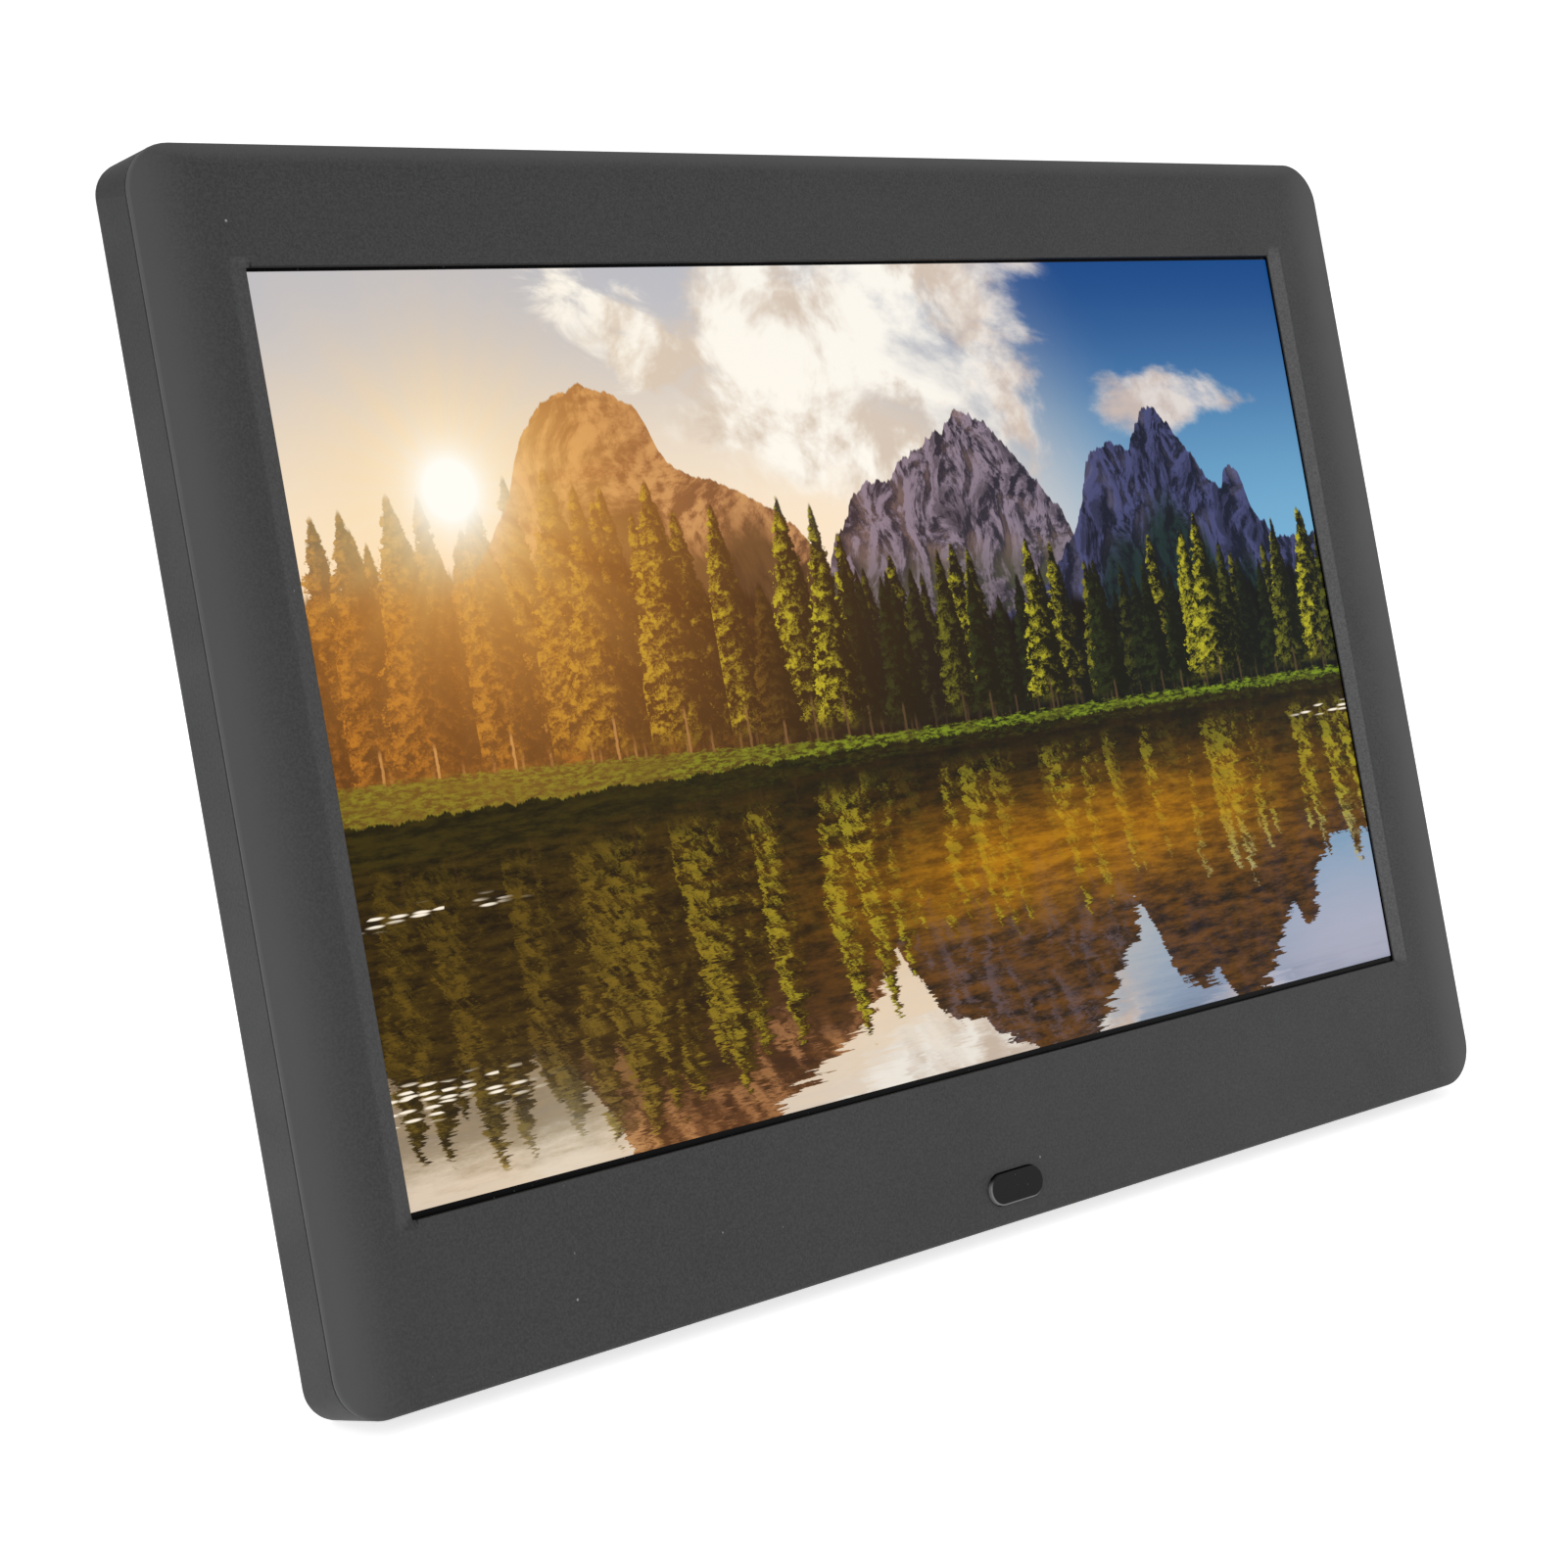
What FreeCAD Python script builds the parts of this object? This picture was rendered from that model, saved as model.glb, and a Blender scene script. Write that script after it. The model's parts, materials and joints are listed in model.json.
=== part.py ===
import FreeCAD
import Part
import math
import os

# A digital photo frame with a 10.1 inch 16:10 panel, standing on a fold-out leg.
# Everything is drawn upright first: X to the viewer's right, Y from the front face
# to the back, Z up from the bottom edge.  At the end the whole frame leans back by
# LEAN about X and is set down with the middle of its footprint at the origin.

V = FreeCAD.Vector

# ---- case ----
CASE_W = 250.0
CASE_H = 181.0
CORNER_R = 7.5
REAR_CORNER_R = 5.0
EDGE_DEPTH = 12.0
BULGE_DEPTH = 25.0
WALL = 2.0
FRONT_WALL = 1.4
BEZEL_EDGE = 0.9
PARTING_GAP = 0.2
CROWN_W = 7.0
CROWN_DROP = 0.25
CROWN_STEPS = 4
FRONT_EDGE_R = 0.5
COVER_EDGE_R = 0.25
REAR_EDGE_R = 1.8
SKIRT_WALL = 1.2
SKIRT_DEPTH = 3.2
SKIRT_GAP = 0.15
LEAN = 16.1
CONTACT_GAP = 0.1

# ---- panel and window ----
ACTIVE_W = 216.96
ACTIVE_H = 135.6
ACTIVE_Z = 94.8
WINDOW_GAP_SIDE = 0.2
WINDOW_GAP_ABOVE = 0.45
WINDOW_GAP_BELOW = 1.0
WINDOW_R = 0.4
COVE_W = 2.8
COVE_D = 0.85
COVE_EASE = 0.4
COVE_END = 1.2
COVE_R = 0.2
PANEL_RECESS = 0.3
PANEL_GASKET_T = 0.2
GLASS_T = 1.0
FILM_T = 0.4
GUIDE_T = 1.0
REFLECTOR_T = 0.2
PLATE_T = 0.3
GLASS_BORDER = (4.5, 3.0, 6.4)
FRAME_BORDER = (6.27, 4.5, 8.0)

# ---- rear bulge and the channel of the leg ----
BULGE_X = 95.0
BULGE_Z0 = 26.0
BULGE_Z1 = 154.0
BULGE_R = 9.0
BULGE_EDGE_R = 3.0
CHANNEL_X = 24.0
CHANNEL_DEPTH = 6.4

# ---- leg ----
HINGE_Z = 100.0
HINGE_SINK = 3.6
LEG_OPEN = 30.1
LEG_X = 23.2
LEG_TIP_X = 16.0
LEG_N0 = -1.0
LEG_N1 = 3.0
BARREL_R = 2.4
STOP_GAP = 0.05
PIN_R = 1.25
PIN_CLEARANCE = 0.05
SHOE_T = 3.0

# ---- feet under the case ----
FOOT_X = 88.0
FOOT_W = 20.0
FOOT_Y0 = 8.4
FOOT_DROP = 0.3

# ---- infrared window ----
IR_X = 3.2
IR_Z = 6.0
IR_W = 11.8
IR_H = 5.3
IR_PROUD = 0.6
IR_SOLE = 2.5

# ---- screws ----
PILOT_R = 1.0
SCREW_R = 0.97
HEAD_R = 2.4
HEAD_T = 1.2
BOSS_R = 3.0
CASE_SCREWS = [(sx * 118.0, z) for sx in (-1, 1) for z in (8.0, 173.0)]
CASE_SCREWS += [(sx * 52.0, z) for sx in (-1, 1) for z in (8.0, 173.4)]

# ---- boards ----
BOARD_Y = 11.4
BOARD_T = 1.6
BOARD_X0 = 6.0
BOARD_X1 = 91.0
BOARD_Z0 = 34.0
BOARD_Z1 = 124.0
BOARD_SCREWS = [(31.0, 38.0), (87.0, 38.0), (31.0, 120.0), (87.0, 120.5)]
KEY_BOARD_T = 1.6
KEY_PITCH = 12.0
KEY_X = -70.0
KEY_Z = 86.0
KEY_R = 4.0
KEY_HOLE_R = 4.3
KEY_PROUD = 1.0
KEY_FLANGE_R = 5.0
KEY_FLANGE_T = 1.0
KEY_TRAVEL = 0.3
TACT_SIZE = 6.0
TACT_T = 3.5
PLUNGER_R = 1.7
KEYS = {
    "ok": (0, 0),
    "up": (0, 1),
    "down": (0, -1),
    "left": (1, 0),
    "right": (-1, 0),
    "power": (1, 2),
    "menu": (-1, 2),
}

# ---- ports: middle heights on the +X side of the bulge ----
DC_Z = 47.0
JACK_Z = 60.0
SD_Z = 81.0
USB_Z = 106.0
USB_STAND = 0.7
USB_W = 13.1
USB_T = 5.72
USB_SHELL = 0.3
USB_TONGUE_T = 1.84
SD_T = 3.0
SD_W = 28.0
JACK_R = 1.8
DC_R = 2.8
DC_PIN_R = 1.0

# ---- speakers ----
SPEAKER_X = 66.0
SPEAKER_Z = 139.0
SPEAKER_W = 36.0
SPEAKER_H = 18.0
SPEAKER_T = 6.0
GASKET_T = 0.6
KEYHOLE_X = 36.0
KEYHOLE_Z = 138.0
KEYHOLE_R = 4.0
KEYHOLE_SLOT_R = 2.0
KEYHOLE_RISE = 7.0

# ---- worked out from the above ----
HALF_W = CASE_W / 2
RECESS_Y = FRONT_WALL - PANEL_RECESS
PANEL_Y = RECESS_Y + PANEL_GASKET_T
COVER_Y0 = BEZEL_EDGE + PARTING_GAP
SHELF_IN = EDGE_DEPTH - WALL
BULGE_IN = BULGE_DEPTH - WALL
CHANNEL_Y = BULGE_DEPTH - CHANNEL_DEPTH
HINGE_Y = BULGE_DEPTH - HINGE_SINK
CHANNEL_TOP = HINGE_Z + BARREL_R + STOP_GAP
LEG_ANGLE = math.radians(LEG_OPEN - LEAN)
LEAN_RAD = math.radians(LEAN)
FLANGE_Y = BULGE_IN - CONTACT_GAP
PLUNGER_TOP = FLANGE_Y - KEY_FLANGE_T
TACT_TOP = PLUNGER_TOP - 1.2
KEY_BOARD_Y = TACT_TOP - TACT_T - KEY_BOARD_T
FILM_Y = PANEL_Y + GLASS_T + 0.1
GUIDE_Y = FILM_Y + FILM_T
REFLECTOR_Y = GUIDE_Y + GUIDE_T
BACK_Y = REFLECTOR_Y + REFLECTOR_T
MODULE_Y = BACK_Y + PLATE_T
DRIVER_Y = MODULE_Y + 0.3
BOARD_TOP = BOARD_Y + BOARD_T


# ---------------------------------------------------------------- solids
def block(x0, x1, y0, y1, z0, z1):
    return Part.makeBox(x1 - x0, y1 - y0, z1 - z0, V(x0, y0, z0))


def disc(r, x, z, y0, y1):
    """A cylinder along Y."""
    return Part.makeCylinder(r, y1 - y0, V(x, y0, z), V(0, 1, 0))


def rod(r, y, z, x0, x1):
    """A cylinder along X."""
    return Part.makeCylinder(r, x1 - x0, V(x0, y, z), V(1, 0, 0))


def outline(x0, x1, z0, z1, r, y):
    """A rectangle with round corners in the plane of height y."""
    k = r * (1 - math.sqrt(0.5))
    a = [V(x0 + r, y, z0), V(x1 - r, y, z0), V(x1, y, z0 + r), V(x1, y, z1 - r)]
    b = [V(x1 - r, y, z1), V(x0 + r, y, z1), V(x0, y, z1 - r), V(x0, y, z0 + r)]
    p = a + b
    m = [V(x1 - k, y, z0 + k), V(x1 - k, y, z1 - k), V(x0 + k, y, z1 - k), V(x0 + k, y, z0 + k)]
    edges = []
    for i in range(4):
        start = p[2 * i]
        end = p[2 * i + 1]
        after = p[(2 * i + 2) % 8]
        if (end - start).Length > 1e-6:
            edges.append(Part.makeLine(start, end))
        edges.append(Part.Arc(end, m[i], after).toShape())
    return Part.Wire(edges)


def slab(x0, x1, z0, z1, r, y0, y1):
    """A plate with round corners, from y0 to y1."""
    face = Part.Face(outline(x0, x1, z0, z1, r, y0))
    return face.extrude(V(0, y1 - y0, 0))


def pill(w, h, x, z, y0, y1):
    return slab(x - w / 2, x + w / 2, z - h / 2, z + h / 2, h / 2 - 1e-3, y0, y1)


def prism_x(points, x0, x1):
    """A profile of (y, z) points drawn out along X."""
    corners = [V(x0, y, z) for y, z in points]
    face = Part.Face(Part.makePolygon(corners + corners[:1]))
    return face.extrude(V(x1 - x0, 0, 0))


def prism_z(points, z0, z1):
    """A profile of (x, y) points drawn out along Z."""
    corners = [V(x, y, z0) for x, y in points]
    face = Part.Face(Part.makePolygon(corners + corners[:1]))
    return face.extrude(V(0, 0, z1 - z0))


def joined(shapes):
    first = shapes[0]
    return first.fuse(shapes[1:]).removeSplitter() if len(shapes) > 1 else first


def cut(shape, tools):
    return shape.cut(tools) if tools else shape


def edges_at(shape, test):
    return [e for e in shape.Edges if test(e.BoundBox)]


def rounded(shape, r, test):
    return shape.makeFillet(r, edges_at(shape, test))


def in_plane_y(y):
    return lambda b: abs(b.YMin - y) < 1e-4 and abs(b.YMax - y) < 1e-4


def screw(x, z, y_head, length, facing=1):
    """A pan-head screw: its head stands on y_head, its shank runs the other way."""
    top = y_head + facing * HEAD_T
    low = y_head - facing * length
    head = disc(HEAD_R, x, z, min(y_head, top), max(y_head, top))
    head = rounded(head, 0.4, in_plane_y(top))
    shank = disc(SCREW_R, x, z, min(y_head, low), max(y_head, low))
    body = joined([head, shank])
    y0 = min(top, top - facing * 0.7)
    slot_a = block(x - 1.3, x + 1.3, y0, y0 + 0.7, z - 0.25, z + 0.25)
    slot_b = block(x - 0.25, x + 0.25, y0, y0 + 0.7, z - 1.3, z + 1.3)
    return body.cut([slot_a, slot_b])


def tube_path(points, bend, r):
    """A round cable along straight runs joined by tangent arcs."""
    edges = []
    start = points[0]
    for a, b, c in zip(points, points[1:], points[2:]):
        u = (a - b).normalize()
        w = (c - b).normalize()
        half = u.getAngle(w) / 2
        back = bend / math.tan(half)
        p = b + u * back
        q = b + w * back
        bisector = (u + w).normalize()
        mid = b + bisector * (bend / math.sin(half) - bend)
        edges.append(Part.makeLine(start, p))
        edges.append(Part.Arc(p, mid, q).toShape())
        start = q
    edges.append(Part.makeLine(start, points[-1]))
    path = Part.Wire(edges)
    way = points[1] - points[0]
    section = Part.Wire(Part.makeCircle(r, points[0], way))
    return path.makePipeShell([section], True, False)


# ---------------------------------------------------------------- case
def window_box():
    w = ACTIVE_W / 2 + WINDOW_GAP_SIDE
    h = ACTIVE_H / 2
    return -w, w, ACTIVE_Z - h - WINDOW_GAP_BELOW, ACTIVE_Z + h + WINDOW_GAP_ABOVE


def cove_outline(side, grow, y):
    """The cove's outline at one depth; its ends run out a little above and below the window."""
    x0, x1, z0, z1 = window_box()
    end = COVE_END * grow / COVE_W
    near = side * (x1 - 2.5 * COVE_R)
    far = side * (x1 + grow)
    return outline(min(near, far), max(near, far), z0 - end, z1 + end, COVE_R * (1 + grow), y)


def side_cove(side):
    """One slanted side of the window with an eased front edge."""
    slope = COVE_D / COVE_W
    steps = [(COVE_W + COVE_EASE, 0.0), (COVE_W - COVE_EASE, slope * COVE_EASE), (0.0, COVE_D)]
    wires = [cove_outline(side, grow, y) for grow, y in steps]
    return [Part.makeLoft(list(pair), True) for pair in zip(wires, wires[1:])]


def window_opening():
    """The window: straight through, with a slanted side at its left and its right."""
    through = slab(*window_box(), WINDOW_R, -1, 3)
    return through.fuse(side_cove(-1) + side_cove(1))


def bezel_screw_posts():
    return [disc(BOSS_R, x, z, FRONT_WALL, SHELF_IN) for x, z in CASE_SCREWS]


def clip_places():
    return [(sx * 119.0, z) for sx in (-1, 1) for z in (52.0, 138.0)]


def ir_stakes():
    """The two bezel pegs that hold the receiver's board."""
    return [(IR_X - 6.4, IR_Z + 5.2), (IR_X + 6.4, IR_Z + 5.2)]


def case_outline(inset, r, y):
    return outline(-HALF_W + inset, HALF_W - inset, inset, CASE_H - inset, r, y)


def crowned_plate():
    """The visible front plate: flat in the middle, falling away a little to a round edge."""
    wires = []
    for i in range(CROWN_STEPS + 1):
        share = i / CROWN_STEPS
        inset = CROWN_W * (1 - share)
        wires.append(case_outline(inset, CORNER_R - inset, CROWN_DROP * share ** 2))
    crown = Part.makeLoft(wires, True)
    base = Part.Face(case_outline(0, CORNER_R, CROWN_DROP)).extrude(V(0, BEZEL_EDGE - CROWN_DROP, 0))
    return rounded(joined([crown, base]), FRONT_EDGE_R, in_plane_y(CROWN_DROP))


def front_bezel():
    plate = crowned_plate()
    g = WALL + SKIRT_GAP
    r = CORNER_R - g
    inner_plate = slab(-HALF_W + g, HALF_W - g, g, CASE_H - g, r, 0.6, FRONT_WALL)
    outer = slab(-HALF_W + g, HALF_W - g, g, CASE_H - g, r, 0.6, FRONT_WALL + SKIRT_DEPTH)
    k = g + SKIRT_WALL
    hollow = slab(-HALF_W + k, HALF_W - k, k, CASE_H - k, r - SKIRT_WALL, FRONT_WALL, 9)
    skirt = outer.cut(hollow)
    posts = bezel_screw_posts()
    posts += [disc(2.5, x, z, FRONT_WALL, MODULE_Y) for x, z in clip_places()]
    for x, z in ir_stakes():
        posts.append(disc(1.6, x, z, FRONT_WALL, 7.0))
        posts.append(disc(0.8, x, z, 6.5, 8.6))
    body = joined([plate, inner_plate, skirt] + posts)
    holes = [disc(PILOT_R, x, z, 3.0, SHELF_IN + 1) for x, z in CASE_SCREWS]
    holes += [disc(0.8, x, z, MODULE_Y - 2.4, MODULE_Y + 1) for x, z in clip_places()]
    holes.append(pill(IR_W + 0.3, IR_H + 0.3, IR_X, IR_Z, -1, FRONT_WALL + 0.1))
    holes.append(window_opening())
    x0, x1, z0, z1 = grown(module_box(GLASS_BORDER), 0.4)
    holes.append(block(x0, x1, RECESS_Y, FRONT_WALL + 0.1, z0, z1))
    return body.cut(holes)


def bulge(x, z0, z1, r, y0, y1, edge_r):
    body = slab(-x, x, z0, z1, r, y0, y1)
    if edge_r > 0:
        body = rounded(body, edge_r, in_plane_y(y1))
    return body


def slot_rows(x, z, w, count, pitch, y0, y1):
    """A stack of narrow round-ended slots."""
    rows = []
    for i in range(count):
        height = z + (i - (count - 1) / 2) * pitch
        rows.append(pill(w, 1.4, x, height, y0, y1))
    return rows


def keyhole(x):
    entry = disc(KEYHOLE_R, x, KEYHOLE_Z, BULGE_IN - 1, BULGE_DEPTH + 1)
    half = KEYHOLE_SLOT_R
    slot = block(x - half, x + half, BULGE_IN - 1, BULGE_DEPTH + 1, KEYHOLE_Z, KEYHOLE_Z + KEYHOLE_RISE)
    end = disc(half, x, KEYHOLE_Z + KEYHOLE_RISE, BULGE_IN - 1, BULGE_DEPTH + 1)
    return entry.fuse([slot, end])


def port_holes():
    x0 = BULGE_X - WALL - 1
    x1 = BULGE_X + 1
    y = BOARD_TOP
    sockets = [
        block(x0, x1, y + USB_STAND - 0.3, y + USB_STAND + USB_T + 0.3, USB_Z - 6.85, USB_Z + 6.85),
        block(x0, x1, y - 0.3, y + SD_T + 0.3, SD_Z - SD_W / 2 - 0.3, SD_Z + SD_W / 2 + 0.3),
        rod(3.3, y + 3.0, JACK_Z, x0, x1),
        rod(4.2, y + 4.0, DC_Z, x0, x1),
    ]
    return sockets


def key_places():
    return {
        name: (KEY_X + KEY_PITCH * column, KEY_Z + KEY_PITCH * row)
        for name, (column, row) in KEYS.items()
    }


def key_screw_places():
    return [(KEY_X, KEY_Z + 2 * KEY_PITCH + 5.5), (KEY_X - 11.5, KEY_Z - 13), (KEY_X + 11.5, KEY_Z - 13)]


def tray():
    """The outer shape of the rear cover's shallow part; its corners grow sharper to the back."""
    front = case_outline(0, CORNER_R, COVER_Y0)
    back = case_outline(0, REAR_CORNER_R, EDGE_DEPTH)
    body = Part.makeLoft([front, back], True, True)
    body = rounded(body, COVER_EDGE_R, in_plane_y(COVER_Y0))
    return rounded(body, REAR_EDGE_R, in_plane_y(EDGE_DEPTH))


def rear_cover():
    hump = bulge(BULGE_X, BULGE_Z0, BULGE_Z1, BULGE_R, EDGE_DEPTH - 3, BULGE_DEPTH, BULGE_EDGE_R)
    channel = block(-CHANNEL_X, CHANNEL_X, CHANNEL_Y, BULGE_DEPTH + 1, BULGE_Z0 - 1, CHANNEL_TOP)
    outer = joined([tray(), hump]).cut([channel])
    r = CORNER_R - WALL
    inner_tray = slab(-HALF_W + WALL, HALF_W - WALL, WALL, CASE_H - WALL, r, 0, SHELF_IN)
    inner_hump = bulge(
        BULGE_X - WALL, BULGE_Z0 + WALL, BULGE_Z1 - WALL, BULGE_R - WALL, SHELF_IN - 3, BULGE_IN, 1.5
    )
    around = block(
        -CHANNEL_X - WALL, CHANNEL_X + WALL, CHANNEL_Y - WALL, BULGE_DEPTH, 0, CHANNEL_TOP + WALL
    )
    inner = joined([inner_tray, inner_hump]).cut([around])
    shell = outer.cut(inner)
    bosses = [disc(BOSS_R, x, z, BOARD_TOP, BULGE_IN + 0.5) for x, z in BOARD_SCREWS]
    bosses += [disc(2.6, x, z, KEY_BOARD_Y + KEY_BOARD_T, BULGE_IN + 0.5) for x, z in key_screw_places()]
    bosses.append(block(-30, -26, HINGE_Y - 3, BULGE_IN + 0.5, HINGE_Z - 4, HINGE_Z + 4))
    bosses.append(block(26, 30, HINGE_Y - 3, BULGE_IN + 0.5, HINGE_Z - 4, HINGE_Z + 4))
    shell = joined([shell] + bosses)
    holes = port_holes()
    holes += [disc(PILOT_R, x, z, BOARD_TOP - 1, BOARD_TOP + 7) for x, z in BOARD_SCREWS]
    holes += [disc(PILOT_R, x, z, KEY_BOARD_Y, KEY_BOARD_Y + 7) for x, z in key_screw_places()]
    holes += [disc(1.3, x, z, SHELF_IN - 1, EDGE_DEPTH + 1) for x, z in CASE_SCREWS]
    holes += [disc(HEAD_R + 0.3, x, z, EDGE_DEPTH - HEAD_T, EDGE_DEPTH + 1) for x, z in CASE_SCREWS]
    holes += [disc(KEY_HOLE_R, x, z, BULGE_IN - 1, BULGE_DEPTH + 1) for x, z in key_places().values()]
    holes.append(rod(PIN_R, HINGE_Y, HINGE_Z, -29.0, 29.0))
    holes += [keyhole(-KEYHOLE_X), keyhole(KEYHOLE_X)]
    for side in (-1, 1):
        holes += slot_rows(side * SPEAKER_X, SPEAKER_Z, 26, 6, 2.6, BULGE_IN - 1, BULGE_DEPTH + 1)
    holes += slot_rows(58, 72, 30, 8, 3.2, BULGE_IN - 1, BULGE_DEPTH + 1)
    return shell.cut(holes)


# ---------------------------------------------------------------- panel
def module_box(border):
    side, top, bottom = border
    x = ACTIVE_W / 2 + side
    return -x, x, ACTIVE_Z - ACTIVE_H / 2 - bottom, ACTIVE_Z + ACTIVE_H / 2 + top


def ring(outer, inner, y0, y1):
    return block(outer[0], outer[1], y0, y1, outer[2], outer[3]).cut(
        block(inner[0], inner[1], y0 - 1, y1 + 1, inner[2], inner[3])
    )


def grown(box, by):
    return box[0] - by, box[1] + by, box[2] - by, box[3] + by


def lcd_glass():
    x0, x1, z0, z1 = module_box(GLASS_BORDER)
    return block(x0, x1, PANEL_Y, PANEL_Y + GLASS_T, z0, z1)


def film_box():
    x0, x1, z0, z1 = module_box(GLASS_BORDER)
    return x0 + 1.6, x1 - 1.6, z0 + 2.4, z1 - 1.2


def lcd_frame():
    return ring(module_box(FRAME_BORDER), grown(film_box(), 0.1), PANEL_Y + GLASS_T, BACK_Y)


def lcd_back_plate():
    inside = module_box(FRAME_BORDER)
    outside = grown(inside, PLATE_T)
    pan = block(outside[0], outside[1], FILM_Y, MODULE_Y, outside[2], outside[3])
    return pan.cut(block(inside[0], inside[1], FILM_Y - 1, BACK_Y, inside[2], inside[3]))


def film(y0, y1):
    x0, x1, z0, z1 = film_box()
    return block(x0, x1, y0, y1, z0, z1)


def lcd_films():
    """The prism and diffuser sheets before the light guide, and the mirror behind it."""
    sheets = [film(FILM_Y, FILM_Y + FILM_T / 2), film(FILM_Y + FILM_T / 2, GUIDE_Y)]
    sheets.append(film(REFLECTOR_Y, BACK_Y))
    return Part.makeCompound(sheets)


def light_guide():
    x0, x1, z0, z1 = film_box()
    return block(x0, x1, GUIDE_Y, REFLECTOR_Y, z0 + 1.4, z1)


def led_strip():
    """A narrow flexible strip with a row of side-firing LEDs under the light guide."""
    x0, x1, z0, _ = film_box()
    strip = block(x0 + 3, x1 - 3, GUIDE_Y, REFLECTOR_Y, z0, z0 + 0.3)
    count = 36
    pitch = (x1 - x0 - 12) / (count - 1)
    lamps = []
    for i in range(count):
        x = x0 + 6 + i * pitch
        lamps.append(block(x - 1.5, x + 1.5, GUIDE_Y + 0.1, REFLECTOR_Y - 0.1, z0 + 0.3, z0 + 1.3))
    return joined([strip] + lamps)


def lcd_gasket():
    x0, x1, z0, z1 = grown(window_box(), 0.6)
    glass = module_box(GLASS_BORDER)
    return ring(grown(glass, -0.5), (x0, x1, z0, z1), RECESS_Y, PANEL_Y)


def lcd_driver_board():
    z0 = ACTIVE_Z - ACTIVE_H / 2 - 3
    return block(-72, 72, DRIVER_Y, DRIVER_Y + 0.8, z0, z0 + 13)


def lcd_driver_flex():
    """The folded film between the glass edge and the strip board."""
    glass = module_box(GLASS_BORDER)
    frame = module_box(FRAME_BORDER)
    t = 0.15
    y0 = PANEL_Y + 0.6
    y1 = DRIVER_Y + 0.8
    low = frame[2] - PLATE_T - 0.5
    board_z = ACTIVE_Z - ACTIVE_H / 2 - 3
    profile = [
        (y0, glass[2]),
        (y0, low),
        (y1 + t, low),
        (y1 + t, board_z + 4),
        (y1, board_z + 4),
        (y1, low + t),
        (y0 + t, low + t),
        (y0 + t, glass[2]),
    ]
    return Part.makeCompound([prism_x(profile, x - 14, x + 14) for x in (-46, 0, 46)])


def clip(sx, z):
    x0 = 110.5 * sx
    x1 = 121.2 * sx
    plate = block(min(x0, x1), max(x0, x1), MODULE_Y, MODULE_Y + 0.8, z - 5, z + 5)
    plate = plate.makeFillet(1.5, [e for e in plate.Edges if e.BoundBox.YLength > 0.7])
    return plate.cut(disc(1.0, sx * 119.0, z, 0, 10))


def lcd_clips():
    return Part.makeCompound([clip(math.copysign(1, x), z) for x, z in clip_places()])


def small_screw(x, z, y):
    head = disc(1.9, x, z, y, y + 0.9)
    head = rounded(head, 0.3, in_plane_y(y + 0.9))
    shank = disc(0.78, x, z, y - 3.0, y)
    body = joined([head, shank])
    slot_a = block(x - 1, x + 1, y + 0.4, y + 1, z - 0.2, z + 0.2)
    slot_b = block(x - 0.2, x + 0.2, y + 0.4, y + 1, z - 1, z + 1)
    return body.cut([slot_a, slot_b])


def lcd_clip_screws():
    return Part.makeCompound([small_screw(x, z, MODULE_Y + 0.8) for x, z in clip_places()])


# ---------------------------------------------------------------- infrared eye
def ir_lens():
    eye = pill(IR_W, IR_H, IR_X, IR_Z, -IR_PROUD, FRONT_WALL)
    eye = rounded(eye, 0.2, in_plane_y(-IR_PROUD))
    flange = pill(IR_W + 2.2, IR_H + 0.8, IR_X, IR_Z, FRONT_WALL, FRONT_WALL + 0.7)
    above = block(IR_X - IR_W, IR_X + IR_W, FRONT_WALL, FRONT_WALL + 0.7, IR_Z - IR_SOLE, IR_Z + IR_H)
    flange = flange.common(above)
    return joined([eye, flange])


def ir_receiver():
    body = block(IR_X - 3, IR_X + 3, 3.9, 7.0, IR_Z - IR_SOLE, IR_Z + 3.4)
    dome = Part.makeSphere(1.7, V(IR_X, 3.9, IR_Z))
    dome = dome.common(block(IR_X - 3, IR_X + 3, 2.3, 3.9, IR_Z - 3, IR_Z + 3))
    return joined([body, dome])


def ir_board():
    board = slab(IR_X - 8.6, IR_X + 8.6, 3.6, 15.4, 1.0, 7.0, 8.0)
    return board.cut([disc(0.9, x, z, 6, 9) for x, z in ir_stakes()])


def ir_cable():
    route = [V(IR_X + 3, 8.9, 12.4), V(IR_X + 3, 8.9, 25), V(12, 8.9, 33), V(12, 8.9, 38)]
    return tube_path(route, 4.0, 0.7)


# ---------------------------------------------------------------- boards
def main_board():
    board = slab(BOARD_X0, BOARD_X1, BOARD_Z0, BOARD_Z1, 1.5, BOARD_Y, BOARD_TOP)
    return board.cut([disc(1.2, x, z, 0, 20) for x, z in BOARD_SCREWS])


def processor():
    return block(34, 51, BOARD_TOP, BOARD_TOP + 1.4, 74, 91)


def memory_chips():
    places = [(34, 98), (50, 98), (34, 58)]
    sizes = [(12, 8), (12, 8), (8, 6)]
    chips = []
    for (x, z), (w, h) in zip(places, sizes):
        chips.append(block(x, x + w, BOARD_TOP, BOARD_TOP + 1.2, z, z + h))
    return Part.makeCompound(chips)


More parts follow.
